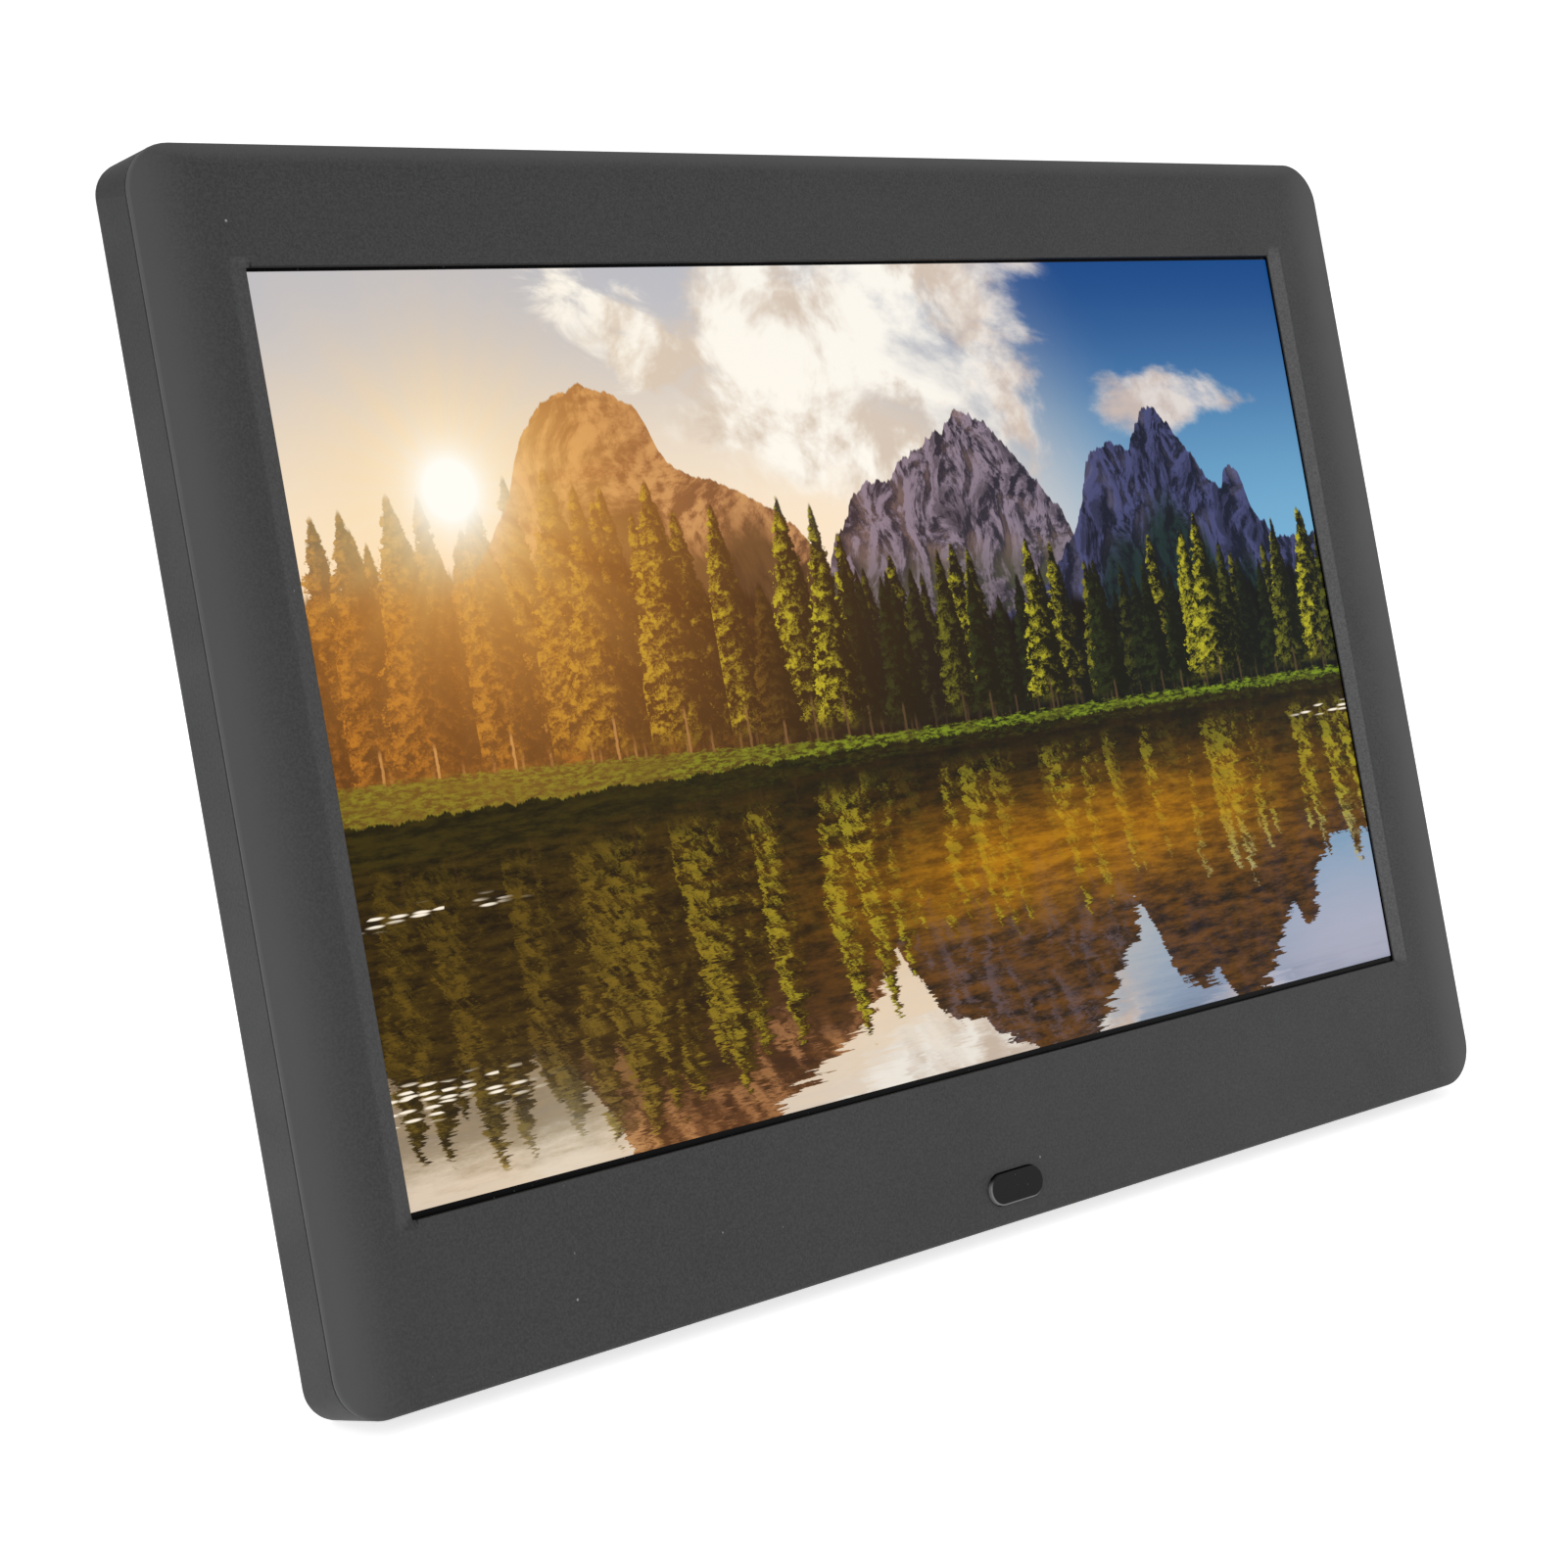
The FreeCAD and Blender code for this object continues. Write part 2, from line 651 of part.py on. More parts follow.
def usb_socket():
    """A USB type A receptacle: a folded steel shell on four short legs."""
    x0 = BULGE_X - 15.0
    x1 = BULGE_X - 0.6
    y0 = BOARD_TOP + USB_STAND
    h = USB_W / 2
    k = h - USB_SHELL
    shell = block(x0, x1, y0, y0 + USB_T, USB_Z - h, USB_Z + h)
    hollow = block(x0 + 0.4, x1 + 1, y0 + USB_SHELL, y0 + USB_T - USB_SHELL, USB_Z - k, USB_Z + k)
    feet = []
    for x in (x0 + 2, x1 - 5):
        for z in (USB_Z - h, USB_Z + k):
            feet.append(block(x, x + 1.5, BOARD_TOP, y0 + 1, z, z + USB_SHELL))
    return joined([shell.cut(hollow)] + feet)


def usb_tongue():
    """The plastic block in the socket and the tongue that carries its contacts."""
    x0 = BULGE_X - 14.6
    y0 = BOARD_TOP + USB_STAND + USB_SHELL
    y1 = y0 + USB_T - 2 * USB_SHELL
    h = USB_W / 2 - USB_SHELL
    root = block(x0, x0 + 2.4, y0, y1, USB_Z - h, USB_Z + h)
    tongue = block(x0 + 2.4, BULGE_X - 3.0, y1 - 0.7 - USB_TONGUE_T, y1 - 0.7, USB_Z - 5.6, USB_Z + 5.6)
    return joined([root, tongue])


def sd_socket():
    """A card socket: the slot is a little larger than a 24 by 2.1 mm card."""
    x0 = BULGE_X - 28.0
    x1 = BULGE_X - 0.6
    h = SD_W / 2
    shell = block(x0, x1, BOARD_TOP, BOARD_TOP + SD_T, SD_Z - h, SD_Z + h)
    slot = block(x0 + 2.0, x1 + 1, BOARD_TOP + 0.4, BOARD_TOP + 2.7, SD_Z - 12.2, SD_Z + 12.2)
    return shell.cut(slot)


def headphone_jack():
    x1 = BULGE_X - 0.4
    y = BOARD_TOP + 3.0
    body = block(BULGE_X - 14.5, BULGE_X - WALL - 0.3, BOARD_TOP, BOARD_TOP + 6, JACK_Z - 3.4, JACK_Z + 3.4)
    nose = rod(3.0, y, JACK_Z, BULGE_X - WALL - 0.3, x1)
    return joined([body, nose]).cut(rod(JACK_R, y, JACK_Z, BULGE_X - 13.5, x1 + 1))


def dc_jack():
    x1 = BULGE_X - 0.4
    y = BOARD_TOP + 4.0
    body = block(BULGE_X - 13.5, BULGE_X - WALL - 0.3, BOARD_TOP, BOARD_TOP + 8, DC_Z - 4.4, DC_Z + 4.4)
    nose = rod(3.9, y, DC_Z, BULGE_X - WALL - 0.3, x1)
    return joined([body, nose]).cut(rod(DC_R, y, DC_Z, BULGE_X - 11.5, x1 + 1))


def dc_pin():
    y = BOARD_TOP + 4.0
    pin = rod(DC_PIN_R, y, DC_Z, BULGE_X - 11.5, BULGE_X - 1.6)
    return rounded(pin, 0.5, lambda b: b.XMin > BULGE_X - 1.7)


def capacitors():
    cans = []
    for x, z in ((62, 38.5), (70, 38.5), (54, 44), (40, 112)):
        can = disc(3.1, x, z, BOARD_TOP, BOARD_TOP + 5.8)
        cans.append(rounded(can, 0.5, in_plane_y(BOARD_TOP + 5.8)))
    return Part.makeCompound(cans)


def power_coils():
    coils = []
    for x, z in ((46, 40), (70, 50)):
        coil = block(x - 3.5, x + 3.5, BOARD_TOP, BOARD_TOP + 3.2, z - 3.5, z + 3.5)
        coils.append(coil.makeFillet(1.2, [e for e in coil.Edges if e.BoundBox.YLength > 3]))
    return Part.makeCompound(coils)


def crystal():
    return pill(11.0, 4.6, 60, 63, BOARD_TOP, BOARD_TOP + 3.4)


def coin_cell():
    cell = disc(8.0, 20, 50, BOARD_Y - 2.6, BOARD_Y - 1.0)
    return rounded(cell, 0.3, in_plane_y(BOARD_Y - 2.6))


def coin_cell_holder():
    body = disc(9.4, 20, 50, BOARD_Y - 2.8, BOARD_Y)
    return body.cut([disc(8.2, 20, 50, BOARD_Y - 4, BOARD_Y - 1.0)])


def board_screws():
    """The four screws of the main board and the three of the key board."""
    screws = [screw(x, z, BOARD_Y, 6.5, -1) for x, z in BOARD_SCREWS]
    screws += [screw(x, z, KEY_BOARD_Y, 6.5, -1) for x, z in key_screw_places()]
    return Part.makeCompound(screws)


# ---------------------------------------------------------------- keys
def key_board():
    x0 = KEY_X - KEY_PITCH - 6.5
    x1 = KEY_X + KEY_PITCH + 6.5
    z0 = KEY_Z - KEY_PITCH - 5.5
    z1 = KEY_Z + 2 * KEY_PITCH + 9
    board = slab(x0, x1, z0, z1, 1.5, KEY_BOARD_Y, KEY_BOARD_Y + KEY_BOARD_T)
    return board.cut([disc(1.2, x, z, 0, 30) for x, z in key_screw_places()])


def tact_switch(x, z):
    h = TACT_SIZE / 2
    base = block(x - h, x + h, TACT_TOP - TACT_T, TACT_TOP, z - h, z + h)
    return base.cut(disc(PLUNGER_R + 0.2, x, z, TACT_TOP - 1.6, TACT_TOP + 1))


def tact_switches():
    return Part.makeCompound([tact_switch(x, z) for x, z in key_places().values()])


def plunger(x, z):
    return disc(PLUNGER_R, x, z, TACT_TOP - 1.1, PLUNGER_TOP)


def key_cap(x, z):
    top = BULGE_DEPTH + KEY_PROUD
    stem = disc(KEY_R, x, z, FLANGE_Y - KEY_FLANGE_T, top)
    stem = rounded(stem, 0.5, in_plane_y(top))
    flange = disc(KEY_FLANGE_R, x, z, FLANGE_Y - KEY_FLANGE_T, FLANGE_Y)
    dish = Part.makeSphere(22.0, V(x, top + 21.75, z))
    return joined([stem, flange]).cut(dish)


def key_cable():
    """A flat cable between the two boards, passing under the leg's channel."""
    t = 0.2
    x0 = KEY_X + KEY_PITCH + 0.5
    x1 = BOARD_X0 + 14
    y0 = KEY_BOARD_Y
    y1 = BOARD_Y
    profile = [
        (x0, y0),
        (x0 + 8, y0),
        (BOARD_X0 - 6, y1),
        (x1, y1),
        (x1, y1 - t),
        (BOARD_X0 - 6, y1 - t),
        (x0 + 8, y0 - t),
        (x0, y0 - t),
    ]
    return prism_z(profile, KEY_Z - 5, KEY_Z + 5)


def lcd_cable():
    """A flat cable from the strip board up to the main board."""
    t = 0.2
    y0 = DRIVER_Y + 0.8
    z0 = ACTIVE_Z - ACTIVE_H / 2 - 3
    profile = [
        (y0, z0 + 5.5),
        (y0, z0 + 11),
        (BOARD_Y - t, BOARD_Z0 + 6),
        (BOARD_Y - t, BOARD_Z0 + 14),
        (BOARD_Y, BOARD_Z0 + 14),
        (BOARD_Y, BOARD_Z0 + 6),
        (y0 + t, z0 + 11),
        (y0 + t, z0 + 5.5),
    ]
    return prism_x(profile, 40, 62)


# ---------------------------------------------------------------- speakers
def speaker_frame(side):
    x = side * SPEAKER_X
    y1 = BULGE_IN - GASKET_T
    y0 = y1 - SPEAKER_T
    w = SPEAKER_W / 2
    h = SPEAKER_H / 2
    basket = slab(x - w, x + w, SPEAKER_Z - h, SPEAKER_Z + h, 3, y0 + 2.4, y1)
    magnet = slab(x - 9, x + 9, SPEAKER_Z - 5, SPEAKER_Z + 5, 2, y0, y0 + 2.4)
    mouth = slab(x - w + 1.5, x + w - 1.5, SPEAKER_Z - h + 1.5, SPEAKER_Z + h - 1.5, 2, y1 - 1.8, y1 + 1)
    return joined([basket, magnet]).cut(mouth)


def speaker_cone(side):
    x = side * SPEAKER_X
    y1 = BULGE_IN - GASKET_T - 0.5
    w = SPEAKER_W / 2 - 1.6
    h = SPEAKER_H / 2 - 1.6
    sheet = slab(x - w, x + w, SPEAKER_Z - h, SPEAKER_Z + h, 1.9, y1 - 1.3, y1 - 0.9)
    dome = slab(x - w + 3, x + w - 3, SPEAKER_Z - h + 3, SPEAKER_Z + h - 3, 1.5, y1 - 0.9, y1 - 0.4)
    return joined([sheet, dome])


def speaker_gasket(side):
    x = side * SPEAKER_X
    y1 = BULGE_IN
    w = SPEAKER_W / 2
    h = SPEAKER_H / 2
    pad = slab(x - w, x + w, SPEAKER_Z - h, SPEAKER_Z + h, 3, y1 - GASKET_T, y1)
    mouth = slab(x - w + 1.5, x + w - 1.5, SPEAKER_Z - h + 1.5, SPEAKER_Z + h - 1.5, 2, y1 - 2, y1 + 1)
    return pad.cut(mouth)


def both(make):
    return Part.makeCompound([make(-1), make(1)])


def speaker_wires():
    """A twisted pair from each speaker down to the front of the main board."""
    wires = []
    y = BOARD_Y - 0.8
    for k in (0, 1):
        right = [V(50 + 2 * k, 14.0, 128.6), V(50 + 2 * k, y, 124.5), V(50 + 2 * k, y, 116)]
        z = 128.6 + 2 * k
        left = [V(-46, 14.0, z), V(-30, y, z), V(14 + 2 * k, y, z), V(20 + 2 * k, y, 114)]
        wires.append(tube_path(right, 2.0, 0.6))
        wires.append(tube_path(left, 5.0, 0.6))
    return Part.makeCompound(wires)


# ---------------------------------------------------------------- leg
def leg_frame(shape):
    """Take a shape drawn with the leg folded to the open position of the leg."""
    shape = shape.copy()
    shape.rotate(V(0, HINGE_Y, HINGE_Z), V(1, 0, 0), LEG_OPEN)
    return shape


def table_height():
    """The table's height before the frame is set down, under the rounded lower edge."""
    edge_y = EDGE_DEPTH - REAR_EDGE_R
    middle = REAR_EDGE_R * math.cos(LEAN_RAD) - edge_y * math.sin(LEAN_RAD)
    return middle - REAR_EDGE_R - FOOT_DROP


def hinge_height():
    """How high the hinge stands over the table."""
    return HINGE_Z * math.cos(LEAN_RAD) - HINGE_Y * math.sin(LEAN_RAD) - table_height()


def leg_reach(n):
    """Distance along the leg from the hinge to the table, at depth n of the leg."""
    return (hinge_height() + n * math.sin(LEG_ANGLE)) / math.cos(LEG_ANGLE)


def leg_half_width(t):
    return LEG_X + (LEG_TIP_X - LEG_X) * t / leg_reach(LEG_N0)


def leg_outline(t0, t1, n0, n1):
    z0 = HINGE_Z - t1
    z1 = HINGE_Z - t0
    w0 = leg_half_width(t1)
    w1 = leg_half_width(t0)
    y = HINGE_Y + n0
    corners = [V(-w0, y, z0), V(w0, y, z0), V(w1, y, z1), V(-w1, y, z1)]
    face = Part.Face(Part.makePolygon(corners + corners[:1]))
    return face.extrude(V(0, n1 - n0, 0))


def stand_leg():
    end = leg_reach(LEG_N0) - SHOE_T
    plate = leg_outline(0, end, LEG_N0, LEG_N1)
    plate = plate.makeFillet(0.6, edges_at(plate, lambda b: b.ZLength > 50))
    pocket = leg_outline(12, end - 12, LEG_N0 - 1, LEG_N0 + 2.0)
    hollow = pocket.common(block(-14, 14, 0, 60, 0, HINGE_Z))
    rib = block(-1, 1, HINGE_Y + LEG_N0, HINGE_Y + LEG_N0 + 2.0, HINGE_Z - end + 12, HINGE_Z - 12)
    grip = pill(20, 5, 0, HINGE_Z - end + 6, HINGE_Y + LEG_N1 - 0.8, HINGE_Y + LEG_N1 + 1)
    plate = joined([plate.cut([hollow, grip]), rib])
    plate = leg_frame(plate)
    barrel = rod(BARREL_R, HINGE_Y, HINGE_Z, -LEG_X, LEG_X)
    heel = block(-LEG_X, LEG_X, HINGE_Y, HINGE_Y + BARREL_R, HINGE_Z, HINGE_Z + BARREL_R)
    body = joined([plate, barrel, heel])
    return body.cut(rod(PIN_R + PIN_CLEARANCE, HINGE_Y, HINGE_Z, -40, 40))


def stand_shoe():
    """The rubber end of the leg: its underside lies flat on the table."""
    end = leg_reach(LEG_N0) - SHOE_T
    profile = [
        (HINGE_Y + LEG_N0, HINGE_Z - end),
        (HINGE_Y + LEG_N0, HINGE_Z - leg_reach(LEG_N0)),
        (HINGE_Y + LEG_N1, HINGE_Z - leg_reach(LEG_N1)),
        (HINGE_Y + LEG_N1, HINGE_Z - end),
    ]
    w = leg_half_width(leg_reach(LEG_N0)) - 0.2
    pad = prism_x(profile, -w, w)
    pad = pad.makeFillet(0.6, edges_at(pad, lambda b: b.XLength < 0.1 and b.ZLength > 1.5))
    return leg_frame(pad)


def stand_pin():
    pin = rod(PIN_R, HINGE_Y, HINGE_Z, -29.0, 29.0)
    return pin.makeChamfer(0.2, [e for e in pin.Edges if e.BoundBox.XLength < 1e-4])


def stand_washers():
    rings = []
    for side in (-1, 1):
        x0 = side * (LEG_X + 0.05)
        x1 = side * (CHANNEL_X - 0.02)
        ring_x = rod(2.2, HINGE_Y, HINGE_Z, min(x0, x1), max(x0, x1))
        rings.append(ring_x.cut(rod(PIN_R + 0.02, HINGE_Y, HINGE_Z, -40, 40)))
    return Part.makeCompound(rings)


# ---------------------------------------------------------------- feet and screws
def rubber_foot(side):
    """A pad that hugs the lower rear edge; its underside is level with the table."""
    s = math.sin(LEAN_RAD)
    c = math.cos(LEAN_RAD)
    profile = [
        (FOOT_Y0, 1.2),
        (FOOT_Y0, (table_height() + FOOT_Y0 * s) / c),
        (EDGE_DEPTH, (table_height() + EDGE_DEPTH * s) / c),
        (EDGE_DEPTH, 1.2),
    ]
    x = side * FOOT_X
    foot = prism_x(profile, x - FOOT_W / 2, x + FOOT_W / 2)
    foot = foot.makeFillet(0.8, edges_at(foot, lambda b: b.ZLength > 0.5 and b.YLength < 1e-4))
    under = slab(-HALF_W, HALF_W, 0, CASE_H, CORNER_R, 0, EDGE_DEPTH)
    return foot.cut(rounded(under, REAR_EDGE_R, in_plane_y(EDGE_DEPTH)))


def case_screws():
    return Part.makeCompound([screw(x, z, EDGE_DEPTH - HEAD_T, 6.5) for x, z in CASE_SCREWS])


# ---------------------------------------------------------------- assembly
def nodes():
    made = {
        "front_bezel": front_bezel(),
        "rear_cover": rear_cover(),
        "case_screws": case_screws(),
        "rubber_feet": both(rubber_foot),
        "ir_lens": ir_lens(),
        "ir_receiver": ir_receiver(),
        "ir_board": ir_board(),
        "ir_cable": ir_cable(),
        "lcd_gasket": lcd_gasket(),
        "lcd_glass": lcd_glass(),
        "lcd_frame": lcd_frame(),
        "lcd_films": lcd_films(),
        "light_guide": light_guide(),
        "led_strip": led_strip(),
        "lcd_back_plate": lcd_back_plate(),
        "lcd_driver_board": lcd_driver_board(),
        "lcd_driver_flex": lcd_driver_flex(),
        "lcd_cable": lcd_cable(),
        "lcd_clips": lcd_clips(),
        "lcd_clip_screws": lcd_clip_screws(),
        "main_board": main_board(),
        "board_screws": board_screws(),
        "processor": processor(),
        "memory_chips": memory_chips(),
        "crystal": crystal(),
        "capacitors": capacitors(),
        "power_coils": power_coils(),
        "coin_cell": coin_cell(),
        "coin_cell_holder": coin_cell_holder(),
        "usb_socket": usb_socket(),
        "usb_tongue": usb_tongue(),
        "sd_socket": sd_socket(),
        "headphone_jack": headphone_jack(),
        "dc_jack": dc_jack(),
        "dc_pin": dc_pin(),
        "key_board": key_board(),
        "tact_switches": tact_switches(),
        "key_cable": key_cable(),
        "speaker_frames": both(speaker_frame),
        "speaker_cones": both(speaker_cone),
        "speaker_gaskets": both(speaker_gasket),
        "speaker_wires": speaker_wires(),
        "stand_pin": stand_pin(),
        "stand_washers": stand_washers(),
        "stand_leg": stand_leg(),
        "stand_shoe": stand_shoe(),
    }
    for name, (x, z) in key_places().items():
        made["key_" + name] = key_cap(x, z)
        made["plunger_" + name] = plunger(x, z)
    return made


def leaned(shape):
    shape = shape.copy()
    shape.rotate(V(0, 0, 0), V(1, 0, 0), -LEAN)
    return shape


def set_down(shapes):
    """The move that puts the middle of the footprint at the origin."""
    box = FreeCAD.BoundBox()
    for shape in shapes:
        box.add(shape.optimalBoundingBox(False))
    return V(-(box.XMin + box.XMax) / 2, -(box.YMin + box.YMax) / 2, -box.ZMin)


def main():
    os.makedirs("parts", exist_ok=True)
    shapes = {name: leaned(shape) for name, shape in nodes().items()}
    move = set_down(shapes.values())
    for name, shape in shapes.items():
        shape.translate(move)
        shape.exportStep("parts/" + name + ".step")
    return shapes, move


if __name__ == "__main__":
    main()
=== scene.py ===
import json
import math

import bmesh
import bpy
from mathutils import Matrix, Vector

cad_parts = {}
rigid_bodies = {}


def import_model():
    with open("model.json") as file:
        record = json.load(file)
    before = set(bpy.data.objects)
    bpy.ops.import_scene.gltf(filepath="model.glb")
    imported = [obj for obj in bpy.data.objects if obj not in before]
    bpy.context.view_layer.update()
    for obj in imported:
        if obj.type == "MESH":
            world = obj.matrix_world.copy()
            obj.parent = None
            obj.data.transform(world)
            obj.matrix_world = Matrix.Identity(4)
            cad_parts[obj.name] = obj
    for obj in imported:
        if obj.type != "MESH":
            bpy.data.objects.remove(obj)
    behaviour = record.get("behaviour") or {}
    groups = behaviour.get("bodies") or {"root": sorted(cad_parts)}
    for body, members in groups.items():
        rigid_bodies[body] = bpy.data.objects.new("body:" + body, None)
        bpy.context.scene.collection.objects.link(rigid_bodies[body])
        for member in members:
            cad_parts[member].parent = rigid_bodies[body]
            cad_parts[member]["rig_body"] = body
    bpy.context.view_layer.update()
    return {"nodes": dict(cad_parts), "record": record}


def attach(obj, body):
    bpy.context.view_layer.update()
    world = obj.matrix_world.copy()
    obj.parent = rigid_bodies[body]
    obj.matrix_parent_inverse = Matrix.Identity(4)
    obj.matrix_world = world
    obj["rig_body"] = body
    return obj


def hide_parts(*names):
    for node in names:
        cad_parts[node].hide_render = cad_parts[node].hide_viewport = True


bl_info = {
    "name": "Digital photo frame",
    "version": (1, 0, 0),
    "blender": (4, 5, 0),
    "location": "View3D > Sidebar > Photo Frame",
    "description": "Dresses the packed photo frame: lit picture, key marks, contacts, cloth, finishes",
    "category": "Object",
}

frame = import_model()

MM = 0.001
LEAN = math.radians(16.1)
SET_DOWN = Vector((0.0, -37.492 * MM, 3.199 * MM))
# From the frame drawn upright, in millimetres, to the frame as it stands, in metres.
AS_IT_STANDS = Matrix.Translation(SET_DOWN) @ Matrix.Rotation(-LEAN, 4, "X") @ Matrix.Scale(MM, 4)
# From a flat shape drawn in XY to the frame's XZ plane.
TO_XZ = Matrix.Rotation(math.radians(90), 4, "X")

# Places and sizes on the frame drawn upright, in millimetres.
CASE_HALF = 125.0
CASE_TALL = 181.0
WINDOW_HALF = 108.68
WINDOW_TALL = 68.525
WINDOW_MIDDLE = 94.525
COVE_WIDE = 2.8
LENS_X = 3.2
LENS_Z = 6.0
LENS_HALF = 5.9
LENS_R = 2.65
REAR_FACE = 25.0
KEY_TOP = 26.0
KEY_DISH = 0.25
KEY_PLACES = {
    "ok": (-70.0, 86.0),
    "up": (-70.0, 98.0),
    "down": (-70.0, 74.0),
    "left": (-58.0, 86.0),
    "right": (-82.0, 86.0),
    "power": (-58.0, 110.0),
    "menu": (-82.0, 110.0),
}
# The height of each socket, and how far from the middle their signs stand.
PORTS = {"power": 47.0, "sound": 60.0, "card": 81.0, "plug": 106.0}
PORT_MARK_X = 86.5
SPEAKER_X = 66.0
SPEAKER_Z = 139.0
CLOTH_Y = 22.55
TONGUE_X = 87.8
TONGUE_Y = 16.58
USB_CONTACTS = (-3.5, -1.0, 1.0, 3.5)
STRIP_THICK = 0.12
# How deep a raised mark is rooted in the plastic below it.
KEY_MARK_ROOT = 0.1
PORT_MARK_ROOT = 0.05
# The widths of the eased edges.
GLASS_EDGE = 0.12
MARK_EDGE = 0.03

# From which angle on an edge between two faces is eased, and from which it is shaded as sharp.
EASED = math.radians(40)
CREASED = math.radians(35)

# Painted light on the window's slanted sides: how much their colour is lightened; the right one faces the
# light, so it is lightened more.
COVE_LEFT_PAINTED_LIGHT = 1.38
COVE_RIGHT_PAINTED_LIGHT = 2.35
# The window's inner wall, made nearly black as painted shade, the dust on the case, and how far in from
# its sides and top edge a painted highlight lightens it.
WINDOW_WALL_SHADE = 0.0012
DUST = (0.42, 0.42, 0.41)
EDGE_HIGHLIGHT_REACH = 12.0

# Soft lights: name, place in metres, width and height, power.
SOFT_LIGHTS = (
    ("left_soft", (-1.15, -0.75, 0.75), (0.9, 0.9), 6.0),
    ("right_soft", (1.10, -0.95, 0.50), (0.9, 0.9), 2.0),
)
LIGHTS_AIM = Vector((0.0, 0.0, 0.08))
OVERHEAD_FROM = Vector((-0.35, 0.25, 1.0))
OVERHEAD_POWER = 1.1
OVERHEAD_SPREAD = math.radians(70)
SENSOR = 36.0
WHITE = (1, 1, 1, 1)


# ---------------------------------------------------------------- mesh helpers
def plate(bm, size, centre):
    """A block of the given size."""
    place = Matrix.Translation(centre) @ Matrix.Diagonal((*size, 1.0))
    bmesh.ops.create_cube(bm, size=1.0, matrix=place)


def faces_of(made):
    """The faces of what a bmesh operator has just made."""
    return list({face for vert in made["verts"] for face in vert.link_faces})


def disc(bm, radius, centre, segments, turn=0.0):
    """A flat disc, or a triangle turned about its middle, in the frame's XZ plane."""
    place = Matrix.Translation(centre) @ Matrix.Rotation(turn, 4, "Y") @ TO_XZ
    made = bmesh.ops.create_circle(bm, cap_ends=True, radius=radius, segments=segments, matrix=place)
    return faces_of(made)


def bars(bm, centre, places, wide, tall):
    """Like bars at several places round a centre, flat in the frame's XZ plane."""
    faces = []
    for x, z in places:
        middle = Matrix.Translation((centre[0] + x, centre[1], centre[2] + z))
        place = middle @ TO_XZ @ Matrix.Diagonal((wide / 2, tall / 2, 1, 1))
        made = bmesh.ops.create_grid(bm, x_segments=1, y_segments=1, size=1.0, matrix=place)
        faces += faces_of(made)
    return faces


def thicken(bm, faces, height):
    """Draws flat faces out along Y into a solid."""
    grown = bmesh.ops.extrude_face_region(bm, geom=faces, use_keep_orig=True)["geom"]
    verts = [item for item in grown if isinstance(item, bmesh.types.BMVert)]
    bmesh.ops.translate(bm, vec=(0, height, 0), verts=verts)


def ease(bm, width):
    """Rounds every sharp edge of a drawing."""
    edges = [e for e in bm.edges if len(e.link_faces) == 2 and e.calc_face_angle(0) > EASED]
    bmesh.ops.bevel(
        bm,
        geom=edges,
        offset=width,
        offset_type="OFFSET",
        affect="EDGES",
        segments=2,
        profile=0.5,
        material=-1,
        clamp_overlap=True,
    )


def ring(bm, inner, outer, centre, segments, start=0.0, sweep=math.tau):
    """A flat ring, or a part of one, spun in the frame's XZ plane."""
    x, y, z = centre
    first = [bm.verts.new((x + math.cos(start) * r, y, z + math.sin(start) * r)) for r in (inner, outer)]
    spun = bmesh.ops.spin(
        bm,
        geom=[*first, bm.edges.new(first)],
        cent=centre,
        axis=(0, -1, 0),
        dvec=(0, 0, 0),
        angle=sweep,
        steps=segments,
        use_merge=sweep == math.tau,
        use_duplicate=False,
    )
    last = [item for item in spun["geom_last"] if isinstance(item, bmesh.types.BMVert)]
    left = {face for vert in (first + last) for face in vert.link_faces if face.is_valid}
    reached = set(left)
    while left:
        near = {face for edge in left.pop().edges for face in edge.link_faces}
        left |= near - reached
        reached |= near
    return list(reached)


def finished(bm, name, body, materials, smooth=True):
    """Turns a drawing in millimetres into a piece of the frame that rides on a body."""
    bmesh.ops.remove_doubles(bm, verts=bm.verts, dist=1e-4)
    bmesh.ops.recalc_face_normals(bm, faces=bm.faces)
    bmesh.ops.transform(bm, matrix=AS_IT_STANDS, verts=bm.verts)
    mesh = bpy.data.meshes.new(name)
    bm.to_mesh(mesh)
    bm.free()
    for material in materials:
        mesh.materials.append(material)
    piece = bpy.data.objects.new(name, mesh)
    bpy.context.scene.collection.objects.link(piece)
    if smooth:
        for polygon in mesh.polygons:
            polygon.use_smooth = True
        mesh.set_sharp_from_angle(angle=CREASED)
    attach(piece, body)
    return piece


# ---------------------------------------------------------------- node helpers
def linear(colour):
    """A scene-linear colour from a six-digit sRGB code, from a grey's strength or from its parts."""
    if isinstance(colour, str):
        parts = [int(colour[i : i + 2], 16) / 255 for i in (0, 2, 4)]
        return tuple(c / 12.92 if c <= 0.04045 else ((c + 0.055) / 1.055) ** 2.4 for c in parts)
    if isinstance(colour, float):
        return (colour,) * 3
    return tuple(colour)


def toned(colour, by):
    """A colour made lighter or darker."""
    return tuple(min(1.0, part * by) for part in linear(colour))


class Wire:
    """One output of a node, which sums and products can be written with."""

    def __init__(self, net, out):
        self.net = net
        self.out = out

    def __add__(self, other):
        return self.net.math("ADD", self, other)

    __radd__ = __add__

    def __sub__(self, other):
        return self.net.math("SUBTRACT", self, other)

    def __rsub__(self, other):
        return self.net.math("SUBTRACT", other, self)

    def __mul__(self, other):
        return self.net.math("MULTIPLY", self, other)

    __rmul__ = __mul__

    def __truediv__(self, other):
        return self.net.math("DIVIDE", self, other)

    def __abs__(self):
        return self.net.math("ABSOLUTE", self)


